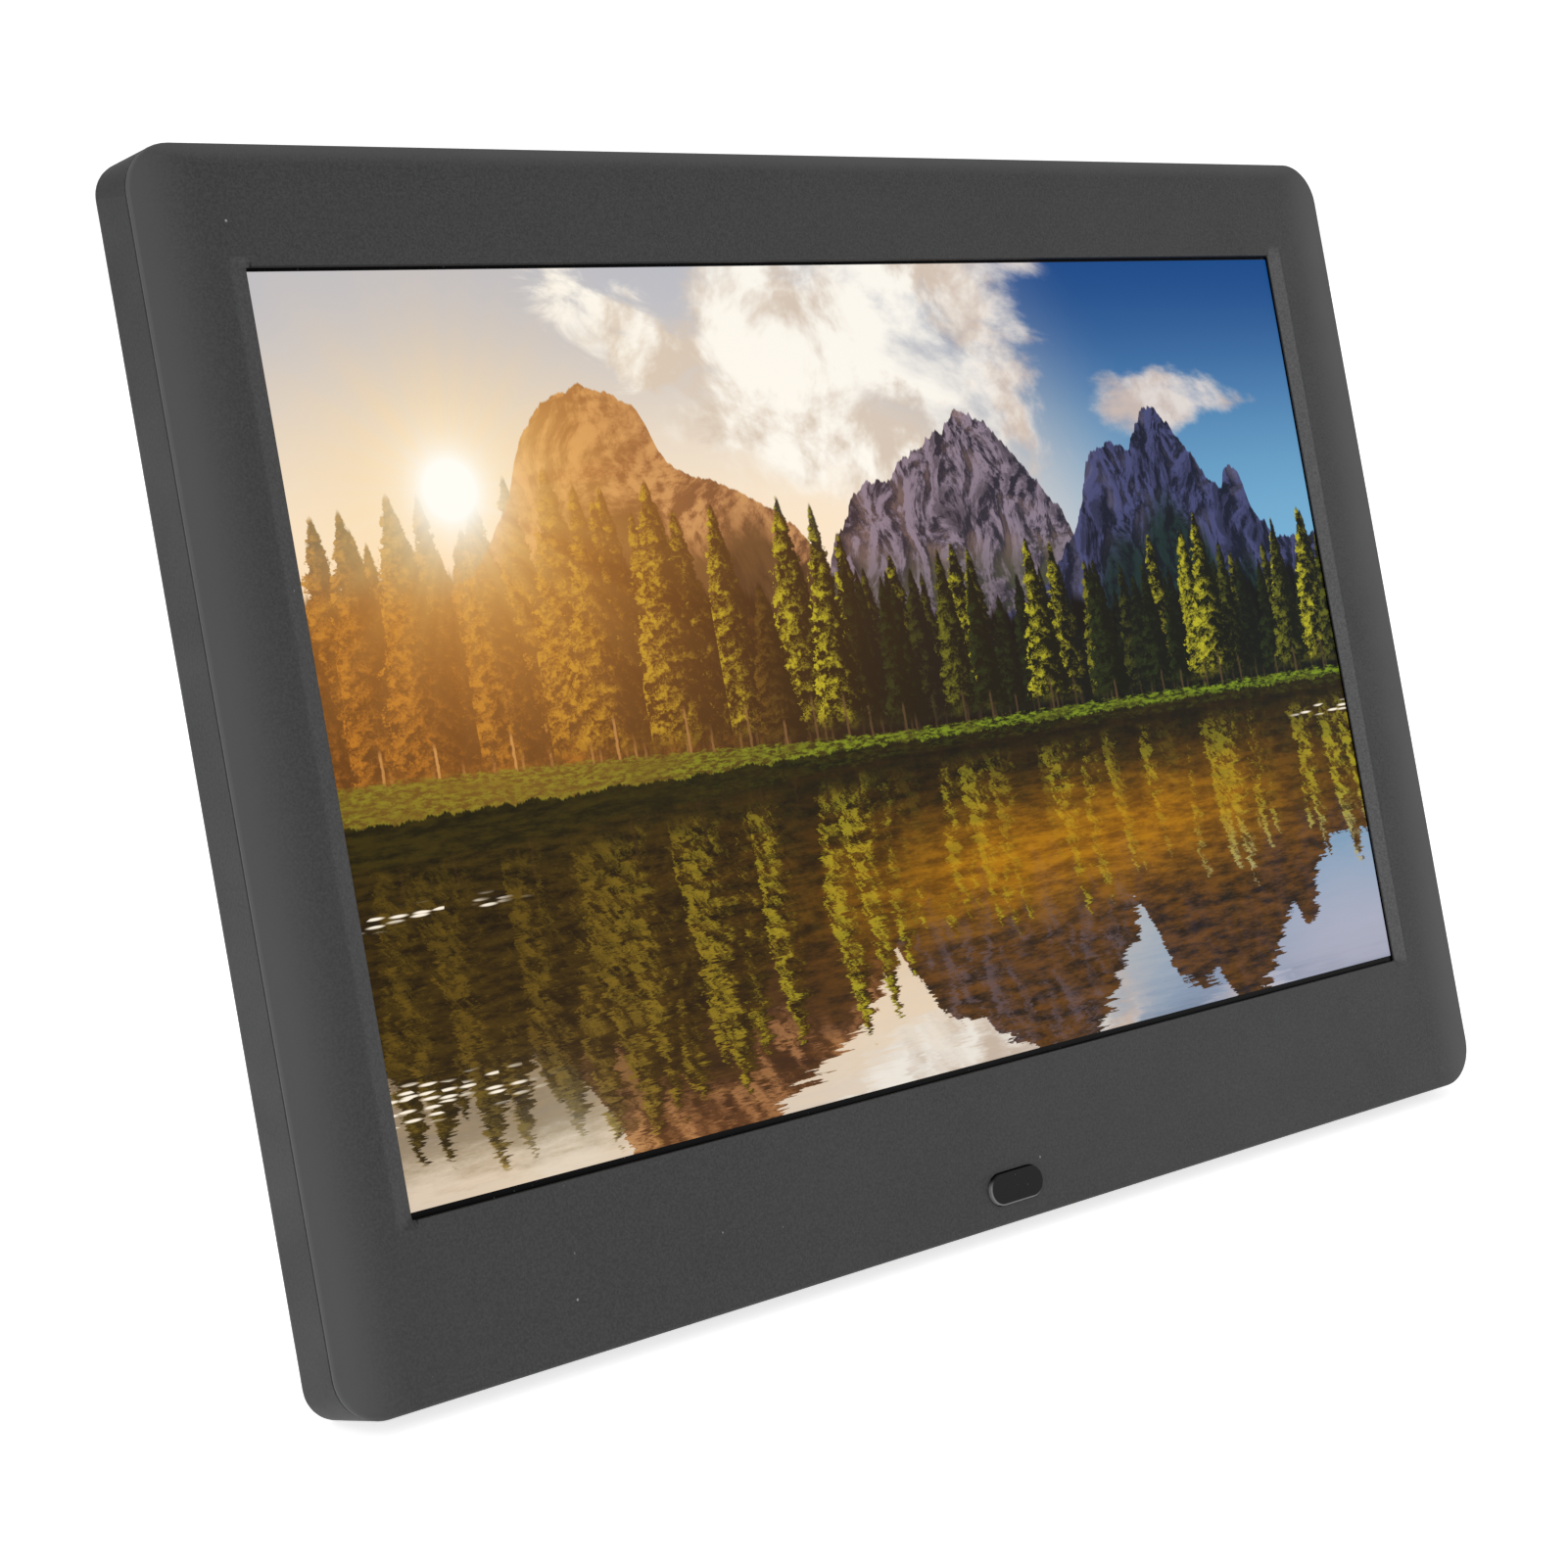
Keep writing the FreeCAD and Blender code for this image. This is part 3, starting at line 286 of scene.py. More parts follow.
class Net:
    """A node tree, with short words for the nodes that the finishes use."""

    def __init__(self, tree):
        self.tree = tree

    def add(self, kind, **settings):
        node = self.tree.nodes.new("ShaderNode" + kind)
        for key, value in settings.items():
            setattr(node, key, value)
        return node

    def feed(self, socket, value):
        if isinstance(value, Wire):
            self.tree.links.new(value.out, socket)
        elif socket.type == "RGBA":
            socket.default_value = (*linear(value), 1.0)
        elif socket.type == "VECTOR" and isinstance(value, float):
            socket.default_value = (value,) * 3
        else:
            socket.default_value = value

    def read(self, kind, inputs, output=0, **settings):
        """An output of a new node, fed with a value for each socket, by number or by name."""
        node = self.add(kind, **settings)
        for socket, value in inputs.items():
            self.feed(node.inputs[socket], value)
        return Wire(self, node.outputs[output])

    def math(self, operation, *terms):
        return self.read("Math", dict(enumerate(terms)), operation=operation)

    def most(self, a, b):
        return self.math("MAXIMUM", a, b)

    def least(self, a, b):
        return self.math("MINIMUM", a, b)

    def ramped(self, value, low, high, a=0.0, b=1.0, soft=True):
        """value carried from low..high to a..b, held at both ends."""
        terms = dict(enumerate((value, low, high, a, b)))
        way = "SMOOTHSTEP" if soft else "LINEAR"
        return self.read("MapRange", terms, interpolation_type=way, clamp=True)

    def mix(self, factor, a, b, blend="MIX"):
        """A colour between a and b."""
        terms = {0: factor, 6: a, 7: b}
        return self.read("Mix", terms, 2, data_type="RGBA", blend_type=blend, clamp_factor=True)

    def blend(self, factor, a, b):
        """A number between a and b."""
        return self.read("Mix", {0: factor, 2: a, 3: b}, data_type="FLOAT", clamp_factor=True)

    def point(self, x, y, z=0.0):
        return self.read("CombineXYZ", {0: x, 1: y, 2: z})

    def parts(self, vector):
        node = self.add("SeparateXYZ")
        self.feed(node.inputs[0], vector)
        return [Wire(self, out) for out in node.outputs]

    def scaled(self, vector, by):
        return self.read("VectorMath", {0: vector, 1: by}, operation="MULTIPLY")

    def noise(self, vector, scale, detail=2.0, roughness=0.5, distortion=0.0, dims="3D"):
        terms = {"Vector": vector, "Scale": scale, "Detail": detail}
        terms |= {"Roughness": roughness, "Distortion": distortion}
        return self.read("TexNoise", terms, noise_dimensions=dims)

    def flat_noise(self, x, y, *look):
        """A noise over two numbers."""
        return self.noise(self.point(x, y), *look, dims="2D")

    def cells(self, vector, scale, feature="F1", dims="3D", randomness=1.0):
        """(distance to the nearest cell's point, a random number of that cell)."""
        node = self.add("TexVoronoi", feature=feature, voronoi_dimensions=dims)
        for name, value in (("Vector", vector), ("Scale", scale), ("Randomness", randomness)):
            self.feed(node.inputs[name], value)
        chosen = self.parts(Wire(self, node.outputs["Color"]))[0] if feature == "F1" else None
        return Wire(self, node.outputs["Distance"]), chosen

    def hashed(self, number):
        """Three random numbers that belong to a whole number."""
        return self.parts(self.read("TexWhiteNoise", {"W": number}, "Color", noise_dimensions="1D"))

    def curve(self, value, points):
        """A number read from a smooth curve through the points."""
        node = self.add("FloatCurve")
        line = node.mapping.curves[0]
        line.points[0].location = points[0]
        line.points[1].location = points[-1]
        for place in points[1:-1]:
            line.points.new(*place)
        node.mapping.update()
        self.feed(node.inputs["Value"], value)
        return Wire(self, node.outputs[0])


def on_object(net):
    """Object coordinates in millimetres."""
    node = net.add("TexCoord")
    return net.scaled(Wire(net, node.outputs["Object"]), 1000.0)


def new_material(name):
    material = bpy.data.materials.new(name)
    material.use_nodes = True
    material.node_tree.nodes.clear()
    return material, Net(material.node_tree)


def shade(net, colour, roughness, height=None, depth=0.02, strength=1.0, **constants):
    """The surface: a Principled shader.  A height of 0 to 1 lifts it by a depth in millimetres."""
    out = net.add("OutputMaterial")
    surface = net.add("BsdfPrincipled")
    net.feed(surface.inputs["Base Color"], colour)
    net.feed(surface.inputs["Roughness"], roughness)
    for name, value in constants.items():
        net.feed(surface.inputs[name.replace("_", " ")], value)
    if height is not None:
        bump = net.add("Bump")
        bump.inputs["Strength"].default_value = strength
        bump.inputs["Distance"].default_value = depth * MM
        net.feed(bump.inputs["Height"], height)
        net.tree.links.new(bump.outputs["Normal"], surface.inputs["Normal"])
    net.tree.links.new(surface.outputs[0], out.inputs["Surface"])
    return surface


# ---------------------------------------------------------------- finishes
def upright(net, place):
    """The same spot on the frame before it leans back: from the left, and up from its foot."""
    x, y, z = net.parts(place)
    y = y - SET_DOWN.y / MM
    z = z - SET_DOWN.z / MM
    return x, y * math.sin(LEAN) + z * math.cos(LEAN)


def edge_highlight(net, place):
    """1 at the case's sides and, in a narrower band, at its top edge: where a painted highlight lightens
    the case.
    """
    x, z = upright(net, place)
    near = net.least(CASE_HALF - abs(x), (CASE_TALL - z) * 3.5)
    return net.ramped(near, EDGE_HIGHLIGHT_REACH, 0.2)


def shaded_window_wall(net, place):
    """1 on the window's inner wall, which light hardly reaches: there painted shade makes the case nearly
    black.
    """
    x, z = upright(net, place)
    out = net.most(abs(x) - WINDOW_HALF + 0.08, abs(z - WINDOW_MIDDLE) - WINDOW_TALL)
    return net.ramped(out, 0.12, 0.02)


def cove(net, place):
    """(1 on the window's slanted left side, 1 on its right side), fading out at their ends: where painted
    light lightens them.
    """
    x, z = upright(net, place)
    out = abs(x) - WINDOW_HALF
    along = abs(z - WINDOW_MIDDLE) - WINDOW_TALL
    on = net.ramped(out, COVE_WIDE + 0.35, COVE_WIDE - 0.35) * net.ramped(out, 0.0, 0.25)
    on = on * net.ramped(along, 2.2, -0.6)
    return on * net.ramped(x, 1.0, -1.0), on * net.ramped(x, -1.0, 1.0)


def lens_rim_highlight(net, place):
    """1 on the round edge of the receiver's lens, at its left and below, where it faces the light: where a
    highlight is painted.
    """
    x, z = upright(net, place)
    x = x - LENS_X
    z = z - LENS_Z
    past = net.most(abs(x) - (LENS_HALF - LENS_R), 0.0)
    out = net.math("SQRT", past * past + z * z) - LENS_R
    return net.ramped(out, -0.34, -0.14) * net.ramped(x * 0.35 + z, 0.4, -1.6)


def moulded(net, base, rough, grain=2.6, depth=0.03, fleck=0.0, rub=0.0, **constants):
    """Spark-textured plastic: fine grain, slow colour drift, shine that changes where it is handled, and
    dust. Where asked, also painted light: a painted highlight along the case's sides and top edge and on
    the window's slanted sides, and painted shade on the window's inner wall.
    """
    place = on_object(net)
    coarse = net.noise(place, grain, 3.0, 0.6)
    fine = net.noise(place, grain * 2.7, 2.0, 0.5)
    slow = net.noise(place, 0.018, 3.0, 0.55)
    touched = net.noise(place, 0.045, 4.0, 0.6, 0.4)
    lift = coarse * 0.65 + fine * 0.35
    colour = net.mix(net.ramped(lift, 0.32, 0.68), toned(base, 0.60), toned(base, 1.46))
    colour = net.mix(net.ramped(slow, 0.3, 0.7) * 0.25, colour, toned(base, 1.2))
    if rub > 0:
        # Painted highlight: the case lightened unevenly towards its sides and top edge.
        wear_and_light = edge_highlight(net, place) * (slow * 0.8 + 0.6)
        colour = net.mix(wear_and_light, colour, toned(base, rub))
        left, right = cove(net, place)
        # Painted light: the window's slanted sides lightened, the right one more.
        colour = net.mix(left, colour, COVE_LEFT_PAINTED_LIGHT, "MULTIPLY")
        colour = net.mix(right, colour, COVE_RIGHT_PAINTED_LIGHT, "MULTIPLY")
        # Painted shade: the window's inner wall made nearly black.
        colour = net.mix(shaded_window_wall(net, place) * 0.95, colour, WINDOW_WALL_SHADE)
    if fleck > 0:
        near, pick = net.cells(place, 0.11)
        dust = net.ramped(near, 0.030, 0.012) * net.ramped(pick, 0.62, 0.66)
        near, pick = net.cells(net.scaled(place, (1.0, 1.0, 0.55)), 0.30)
        speck = net.ramped(near, 0.050, 0.022) * net.ramped(pick, 0.88, 0.92)
        colour = net.mix(net.most(dust, speck) * fleck, colour, DUST)
    shine = net.ramped(touched, 0.25, 0.75, rough + 0.04, rough - 0.05)
    shine = shine + (fine - 0.5) * 0.12
    return shade(net, colour, shine, lift, depth, 0.8, **constants)


def metal(net, base, rough, grain=(40.0, 1.2, 1.2), depth=0.004, **constants):
    """Rolled or plated metal: fine lines one way, handling marks and a little tarnish."""
    place = on_object(net)
    lines = net.noise(net.scaled(place, grain), 1.0, 3.0, 0.6)
    marks = net.noise(place, 0.35, 5.0, 0.65, 0.5)
    pits, _ = net.cells(place, 1.6)
    colour = net.mix(net.ramped(marks, 0.35, 0.75), base, toned(base, 0.72))
    shine = rough + (lines - 0.5) * 0.18 + net.ramped(marks, 0.4, 0.7, -0.04, 0.10)
    lift = lines * 0.7 + net.ramped(pits, 0.0, 0.3) * 0.3
    return shade(net, colour, shine, lift, depth, 0.6, Metallic=1.0, **constants)


def circuit_board(net):
    """Green solder mask over copper tracks, with the mask a little thicker on the tracks."""
    place = on_object(net)
    near, _ = net.cells(place, 0.42, "DISTANCE_TO_EDGE")
    track = net.ramped(near, 0.05, 0.09, 1.0, 0.0)
    via, pick = net.cells(place, 0.3)
    pad = net.ramped(via, 0.14, 0.11) * net.ramped(pick, 0.55, 0.6)
    weave = net.noise(place, 3.5, 2.0)
    colour = net.mix(track, "0f3f24", "1c6237")
    colour = net.mix(net.ramped(weave, 0.3, 0.7) * 0.3, colour, "0b3320")
    colour = net.mix(pad, colour, "b9b08a")
    shine = net.blend(pad, 0.34, 0.22) + (weave - 0.5) * 0.1
    return shade(net, colour, shine, track * 0.6 + pad * 0.4 + weave * 0.05, 0.03, 0.7, IOR=1.5)


def rubber(net):
    """Soft black rubber with a pale bloom and fine scuffs."""
    place = on_object(net)
    grain = net.noise(place, 3.4, 4.0, 0.65)
    bloom = net.noise(place, 0.16, 4.0, 0.6)
    lines, _ = net.cells(net.scaled(place, (0.3, 1.4, 1.4)), 0.7)
    colour = net.mix(net.ramped(bloom, 0.4, 0.75) * 0.5, "1b1b1c", "2f2f30")
    colour = net.mix(net.ramped(grain, 0.45, 0.7) * 0.25, colour, "3a3a3a")
    shine = net.ramped(bloom, 0.3, 0.7, 0.74, 0.9)
    return shade(net, colour, shine, grain * 0.7 + lines * 0.3, 0.05, 0.9)


def glossy_black(net, tint, rough, rim=0.0, **constants):
    """Smooth dark plastic or glass, with fine hairlines and a film of dust; on the lens, a painted
    highlight: a pale band along its rim.
    """
    place = on_object(net)
    hair = net.noise(net.scaled(place, (1.0, 9.0, 0.6)), 1.3, 4.0, 0.7, 0.6)
    dust, pick = net.cells(place, 0.9)
    speck = net.ramped(dust, 0.10, 0.05) * net.ramped(pick, 0.72, 0.78)
    wave = net.noise(place, 0.25, 2.0)
    colour = net.mix(speck * 0.35, tint, 0.25)
    if rim > 0:
        # Painted highlight: the lens's rim made pale at its left and below.
        colour = net.mix(lens_rim_highlight(net, place) * rim, colour, 0.30)
    shine = rough + net.ramped(hair, 0.5, 0.75) * 0.12 + speck * 0.4
    return shade(net, colour, shine, wave * 0.8 + hair * 0.06, 0.02, 0.5, **constants)


def ribbon(net, base, line):
    """A flat cable: its conductors show as pale lines through the film."""
    place = on_object(net)
    stripe = net.math("PINGPONG", net.parts(place)[0], 0.5) * 2.0
    core = net.ramped(stripe, 0.35, 0.6)
    grime = net.noise(place, 0.3, 4.0)
    colour = net.mix(core, base, line)
    colour = net.mix(net.ramped(grime, 0.45, 0.8) * 0.25, colour, toned(base, 0.6))
    return shade(net, colour, 0.38 + (grime - 0.5) * 0.15, core, 0.05, 0.7)


def foam(net):
    """Black foam with open pores, with painted shade in the pores."""
    place = on_object(net)
    pores, pick = net.cells(place, 3.2)
    tone = net.noise(place, 0.5, 3.0)
    shaded_pores = net.ramped(pores, 0.05, 0.4)
    # Painted shade: the pores coloured darker than the foam around them.
    colour = net.mix(shaded_pores, "141414", "2b2b2c")
    colour = net.mix(net.ramped(tone, 0.4, 0.8) * 0.3, colour, "353535")
    return shade(net, colour, 0.93 - pick * 0.06, shaded_pores, 0.08, 0.9)


def clear_sheet(net, tint, rough):
    """A diffusing sheet with a dot pattern pressed into it."""
    place = on_object(net)
    dots, _ = net.cells(place, 1.4, randomness=0.15)
    bead = net.ramped(dots, 0.35, 0.2)
    haze = net.noise(place, 0.1, 3.0)
    colour = net.mix(net.ramped(haze, 0.3, 0.8) * 0.2 + bead * 0.2, tint, 0.95)
    return shade(net, colour, rough + bead * 0.15, bead, 0.02, 0.7, IOR=1.49)


def chip_top(net):
    """Black epoxy with a fine moulded grain and a polished dimple's sheen."""
    place = on_object(net)
    grain = net.noise(place, 5.0, 3.0, 0.7)
    swirl = net.noise(place, 0.4, 3.0, 0.5, 1.0)
    colour = net.mix(net.ramped(grain, 0.4, 0.7), "17181a", "26272a")
    return shade(net, colour, 0.5 + (swirl - 0.5) * 0.25, grain, 0.02, 0.8)


def ferrite(net):
    """Pressed dark grey powder with chipped edges."""
    place = on_object(net)
    grain = net.noise(place, 2.2, 5.0, 0.7)
    chips, _ = net.cells(place, 0.8)
    colour = net.mix(net.ramped(grain, 0.35, 0.7), "2d2c2b", "4a4744")
    return shade(net, colour, 0.7 + (grain - 0.5) * 0.2, grain * 0.7 + chips * 0.3, 0.05, 0.9)


def paper_cone(net):
    """Pressed black paper with its fibres."""
    place = on_object(net)
    fibre = net.noise(net.scaled(place, (1.0, 1.0, 3.0)), 2.4, 5.0, 0.7, 0.8)
    colour = net.mix(net.ramped(fibre, 0.3, 0.7), "1d1c1b", "35322f")
    return shade(net, colour, 0.85 + (fibre - 0.5) * 0.1, fibre, 0.05, 0.9, Sheen_Weight=0.25)


def lamp(net):
    """A strip of white LEDs: yellow phosphor in white housings."""
    place = on_object(net)
    beat = net.math("PINGPONG", net.parts(place)[0], 3.0)
    window = net.ramped(beat, 1.0, 0.8)
    grain = net.noise(place, 3.0, 3.0)
    colour = net.mix(window, "e9e6da", "e6c23a")
    return shade(net, colour, 0.4 + (grain - 0.5) * 0.2, grain + window, 0.02, 0.5)


def woven(net, base, threads=3.2):
    """An open weave of fine black threads, with a number of them in each millimetre; the gaps between the
    threads carry painted shade.
    """
    place = on_object(net)
    x, y, z = net.parts(place)
    up = y * math.sin(LEAN) + z * math.cos(LEAN)
    over = net.most(*(net.math("PINGPONG", way * threads, 1.0) for way in (x, up)))
    fuzz = net.noise(place, 6.0, 3.0)
    shaded_gap = net.ramped(over, 0.55, 0.35)
    # Painted shade: the gaps in the weave coloured darker than the threads.
    colour = net.mix(shaded_gap, base, toned(base, 0.15))
    colour = net.mix(net.ramped(fuzz, 0.4, 0.7) * 0.3, colour, toned(base, 1.7))
    return shade(net, colour, 0.88 + (fuzz - 0.5) * 0.1, over, 0.12, 1.0, Sheen_Weight=0.2)


def of(make, *looks, **named):
    """The finish that a function makes with these looks."""
    return lambda net: make(net, *looks, **named)


FINISHES = {
    "case_front": of(
        moulded,
        (0.0250, 0.0250, 0.0256),
        rough=0.56,
        grain=2.4,
        depth=0.045,
        fleck=0.55,
        # Painted highlight: how much lighter the case is made at its sides and top edge.
        rub=2.1,
        Specular_IOR_Level=0.34,
    ),
    "case_rear": of(
        moulded,
        (0.0165, 0.0165, 0.017),
        rough=0.54,
        grain=2.0,
        depth=0.045,
        fleck=0.35,
        Specular_IOR_Level=0.24,
    ),
    "key": of(moulded, (0.022, 0.022, 0.023), rough=0.42, grain=4.2, depth=0.012, fleck=0.25),
    "black_plastic": of(moulded, (0.016, 0.016, 0.017), rough=0.38, grain=3.0, depth=0.02),
    "screw_black": of(metal, (0.07, 0.07, 0.075), rough=0.34),
    "screw_zinc": of(metal, (0.62, 0.63, 0.62), rough=0.30),
    "rubber": rubber,
    "ir_window": of(
        # rim: strength of the painted highlight on the lens's rim.
        glossy_black, (0.0046, 0.0042, 0.0044), rough=0.12, rim=0.50, Specular_IOR_Level=0.14
    ),
    "ir_epoxy": of(glossy_black, (0.02, 0.004, 0.006), rough=0.16, IOR=1.55),
    "board_green": circuit_board,
    "cable_grey": of(moulded, (0.26, 0.26, 0.27), rough=0.5, grain=1.5, depth=0.02),
    "cable_white": of(ribbon, "d9d9d6", "9aa0a3"),
    "flex_amber": of(ribbon, "b2621b", "d99a3c"),
    "foam": foam,
    "screen": of(glossy_black, (0.002, 0.002, 0.0025), rough=0.24, Specular_IOR_Level=0.08),
    "frame_white": of(moulded, (0.72, 0.72, 0.70), rough=0.5, grain=2.0, depth=0.01),
    "film": of(clear_sheet, "dfe2e4", rough=0.32),
    "acrylic": of(clear_sheet, "e8eef0", rough=0.12),
    "led": lamp,
    "steel": of(metal, (0.56, 0.57, 0.58), rough=0.32, grain=(18.0, 0.8, 0.8)),
    "chip": chip_top,
    "tin": of(metal, (0.66, 0.67, 0.69), rough=0.24, grain=(1.0, 1.0, 14.0)),
    "can": of(metal, (0.74, 0.75, 0.77), rough=0.22, grain=(6.0, 0.6, 6.0)),
    "ferrite": ferrite,
    "brass_pin": of(metal, (0.80, 0.60, 0.26), rough=0.24),
    "cone": paper_cone,
    "cloth": of(woven, (0.02, 0.02, 0.021)),
    "wire": of(moulded, (0.35, 0.02, 0.018), rough=0.42, grain=1.5, depth=0.02),
}


def finish(slot):
    """The material of a slot, made once."""
    name = "finish_" + slot
    if name not in bpy.data.materials:
        material, net = new_material(name)
        FINISHES[slot](net)
    return bpy.data.materials[name]


# ---------------------------------------------------------------- the lit picture
# A mountain lake at sunrise, drawn from noise.  u runs from left to right and
# v from bottom to top, both from 0 to 1.
SHORE = 0.405
SUN = (0.125, 0.755)
ASPECT = 1.6
# Half the width over which an outline is softened, and the step over which rock's slope is read.
EDGE = 0.0015
SLOPE_STEP = 0.006
MASSIF = [(0.0, 0.52), (0.12, 0.66), (0.165, 0.73), (0.195, 0.82), (0.235, 0.855), (0.285, 0.84)]
MASSIF += [(0.318, 0.765), (0.355, 0.75), (0.41, 0.69), (0.47, 0.60), (1.0, 0.45)]
NEAR_PEAK = [(0.0, 0.42), (0.42, 0.56), (0.46, 0.68), (0.50, 0.72), (0.55, 0.765), (0.60, 0.81)]
NEAR_PEAK += [(0.635, 0.78), (0.665, 0.735), (0.695, 0.69), (0.72, 0.62), (1.0, 0.50)]
FAR_PEAK = [(0.0, 0.40), (0.68, 0.60), (0.72, 0.665), (0.745, 0.74), (0.785, 0.76), (0.815, 0.805)]
FAR_PEAK += [(0.845, 0.765), (0.87, 0.72), (0.885, 0.695), (0.905, 0.73), (0.925, 0.66), (0.97, 0.62)]
FAR_PEAK += [(1.0, 0.61)]
# Rows of trees from back to front: width of a tree's place, lowest and tallest, seed, light, nearness.
TREE_ROWS = (
    (0.021, 0.12, 0.20, 2.3, 0.12, 0.0),
    (0.029, 0.12, 0.25, 5.9, 0.25, 0.25),
    (0.037, 0.15, 0.27, 9.2, 0.35, 0.40),
    (0.043, 0.17, 0.29, 21.7, 0.43, 0.55),
    (0.052, 0.19, 0.31, 13.7, 0.52, 0.80),
    (0.071, 0.19, 0.33, 17.4, 0.60, 1.0),
)
# How fast the light falls off from the sun's middle: its heart and its halo.
HEART_FALL = -34.0
HALO_FALL = -8.5


def ridge(net, u, v, line, rough, seed):
    """(1 under a mountain's outline, depth below it)."""
    crag = net.flat_noise(u + seed, seed, 9.0, 7.0, 0.62)
    teeth = abs(net.flat_noise(u, seed * 2, 26.0, 4.0, 0.6) - 0.5)
    below = net.curve(u, line) + (crag - 0.5) * rough - teeth * rough * 0.9 - v
    return net.ramped(below, -EDGE, EDGE), below


def relief(net, u, v, scale, stretch, seed):
    """(a noise, the same lit from the left: its slope from one side to the other)."""
    look = (scale, 9.0, 0.66, 0.35)
    here = net.flat_noise(u * stretch + seed, v, *look)
    there = net.flat_noise((u - SLOPE_STEP) * stretch + seed, v + SLOPE_STEP * 0.8, *look)
    return here, net.ramped(there - here, -0.07, 0.07)


def sky(net, u, v):
    """Warm haze on the left, deep blue on the right, and lit clouds."""
    side = net.ramped(u + (v - 0.7) * 0.35, 0.46, 0.86)
    warm = net.mix(net.ramped(v, 0.66, 1.0), "fbe6cb", "b4b7c2")
    blue = net.mix(net.ramped(v, 0.55, 1.02), "7fb0d2", "12508a")
    colour = net.mix(side, warm, blue)
    drift = net.flat_noise(u * ASPECT * 0.8 + v * 0.35, v * 1.25, 4.2, 8.0, 0.58, 0.25)
    wisp = net.flat_noise(u * 1.3 - v * 0.9, v * 2.4 + u * 0.9, 5.5, 6.0, 0.6, 0.6)
    over = net.ramped(u, 0.28, 0.44) * net.ramped(u, 0.78, 0.56) * net.ramped(v, 0.62, 0.80)
    streak = net.ramped(abs(v - 1.02 + (u - 0.20) * 1.05), 0.13, 0.01)
    streak = streak * net.ramped(u, 0.12, 0.24) * net.ramped(u, 0.46, 0.36)
    cap = abs(u - 0.822) * 1.5 + abs(v - 0.80) * 2.2
    thick = net.ramped(drift, 0.58 - over * 0.34, 0.74 - over * 0.26) * net.ramped(over, 0.02, 0.3)
    feather = net.ramped(wisp + streak * 0.34, 0.68, 0.90) * net.ramped(streak, 0.0, 0.3)
    thick = net.most(thick, feather)
    thick = net.most(thick, net.ramped(cap - (drift - 0.5) * 0.5, 0.16, 0.05) * 0.92)
    body = net.flat_noise(u * ASPECT + 3.1, v + 0.02, 7.0, 5.0, 0.6, 0.2)
    cloud = net.mix(net.ramped(body, 0.36, 0.58), "d3c2b2", "fffaf0")
    cloud = net.mix(net.ramped(u, 0.55, 0.75) * 0.45, cloud, "c9b2ab")
    return net.mix(thick * 0.95, colour, cloud)


def mountains(net, u, v, colour):
    """A hazy massif on the left and two bare rocky peaks on the right; and where any of them is."""
    first, below = ridge(net, u, v, MASSIF, 0.05, 3.7)
    rock, lit = relief(net, u, v, 7.0, 1.5, 1.3)
    face = net.mix(lit, "6b4d3b", "c0936a")
    wood = net.mix(net.ramped(rock, 0.4, 0.6), "33291f", "5f4a32")
    wooded = net.ramped(below + (rock - 0.5) * 0.12 + net.ramped(u, 0.28, 0.4) * 0.10, 0.10, 0.16)
    face = net.mix(wooded, face, wood)
    colour = net.mix(first, colour, face)

    second, _ = ridge(net, u, v, NEAR_PEAK, 0.095, 8.1)
    rock, lit = relief(net, u, v, 12.0, 2.6, 5.2)
    face = net.mix(lit, "2a2c3d", "8d818f")
    face = net.mix(net.ramped(rock, 0.50, 0.68) * 0.45, face, "a58a80")
    face = net.mix(net.ramped(rock, 0.46, 0.36) * 0.6, face, "262734")
    scree = net.ramped(v, 0.66, 0.58) * net.ramped(rock, 0.35, 0.65)
    face = net.mix(scree, face, "4a4e40")
    colour = net.mix(second, colour, face)

    third, below = ridge(net, u, v, FAR_PEAK, 0.085, 12.6)
    rock, lit = relief(net, u, v, 12.0, 2.8, 9.4)
    face = net.mix(lit, "131c34", "50547a")
    face = net.mix(net.ramped(rock, 0.52, 0.7) * 0.4, face, "837f9a")
    face = net.mix(net.ramped(rock, 0.46, 0.36) * 0.6, face, "121a30")
    foot = net.ramped(below + (rock - 0.5) * 0.12, 0.09, 0.16)
    face = net.mix(foot, face, net.mix(lit, "0d1a25", "1d3636"))
    land = net.most(first, net.most(second, third))
    return net.mix(third, colour, face), land


def tree_row(net, u, v, wide, low, high, seed):
    """(inside a tree, how leafy and lit the spot is, the tree's own random number, trunk).
    Each cell along u holds one conifer, whose boughs step out and in towards the tip."""
    cell = u / wide + seed
    number = net.math("FLOOR", cell)
    one, two, three = net.hashed(number + seed * 7.0)
    across = (cell - number - 0.5 - (one - 0.5) * 0.42) * (wide * ASPECT)
    tall = net.blend(two, low, high) * net.ramped(u, 0.05, 0.75, 1.30, 0.84)
    up = (v - SHORE) / tall
    ragged = net.flat_noise(u * ASPECT + seed, v * 1.25, 58.0, 4.0, 0.66)
    away = abs(across + (ragged - 0.5) * 0.004)
    boughs = up * (9.0 + three * 7.0) + away * 30.0 + (ragged - 0.5) * 2.6 + one * 5.0
    bough = net.math("FRACT", boughs)
    spread = net.math("POWER", net.most(1.0 - up, 0.0), 0.74)
    half = tall * net.blend(three, 0.13, 0.20) * spread * (0.10 + bough * 0.26 + ragged * 1.45)
    inside = net.ramped(half - away, -0.0008, 0.0018)
    inside = inside * net.ramped(up, 0.08, 0.18) * net.ramped(up, 1.0, 0.97)
    trunk = net.ramped(away, 0.0024, 0.0012) * net.ramped(up, 0.24, 0.20) * net.ramped(up, -0.01, 0.0)
    side = net.ramped(across / (half + 0.004), 0.9, -0.9)
    leafy = (bough * 0.40 + ragged * 1.7 - 0.68) * (0.30 + side * 0.90)
    return inside, leafy, two, trunk


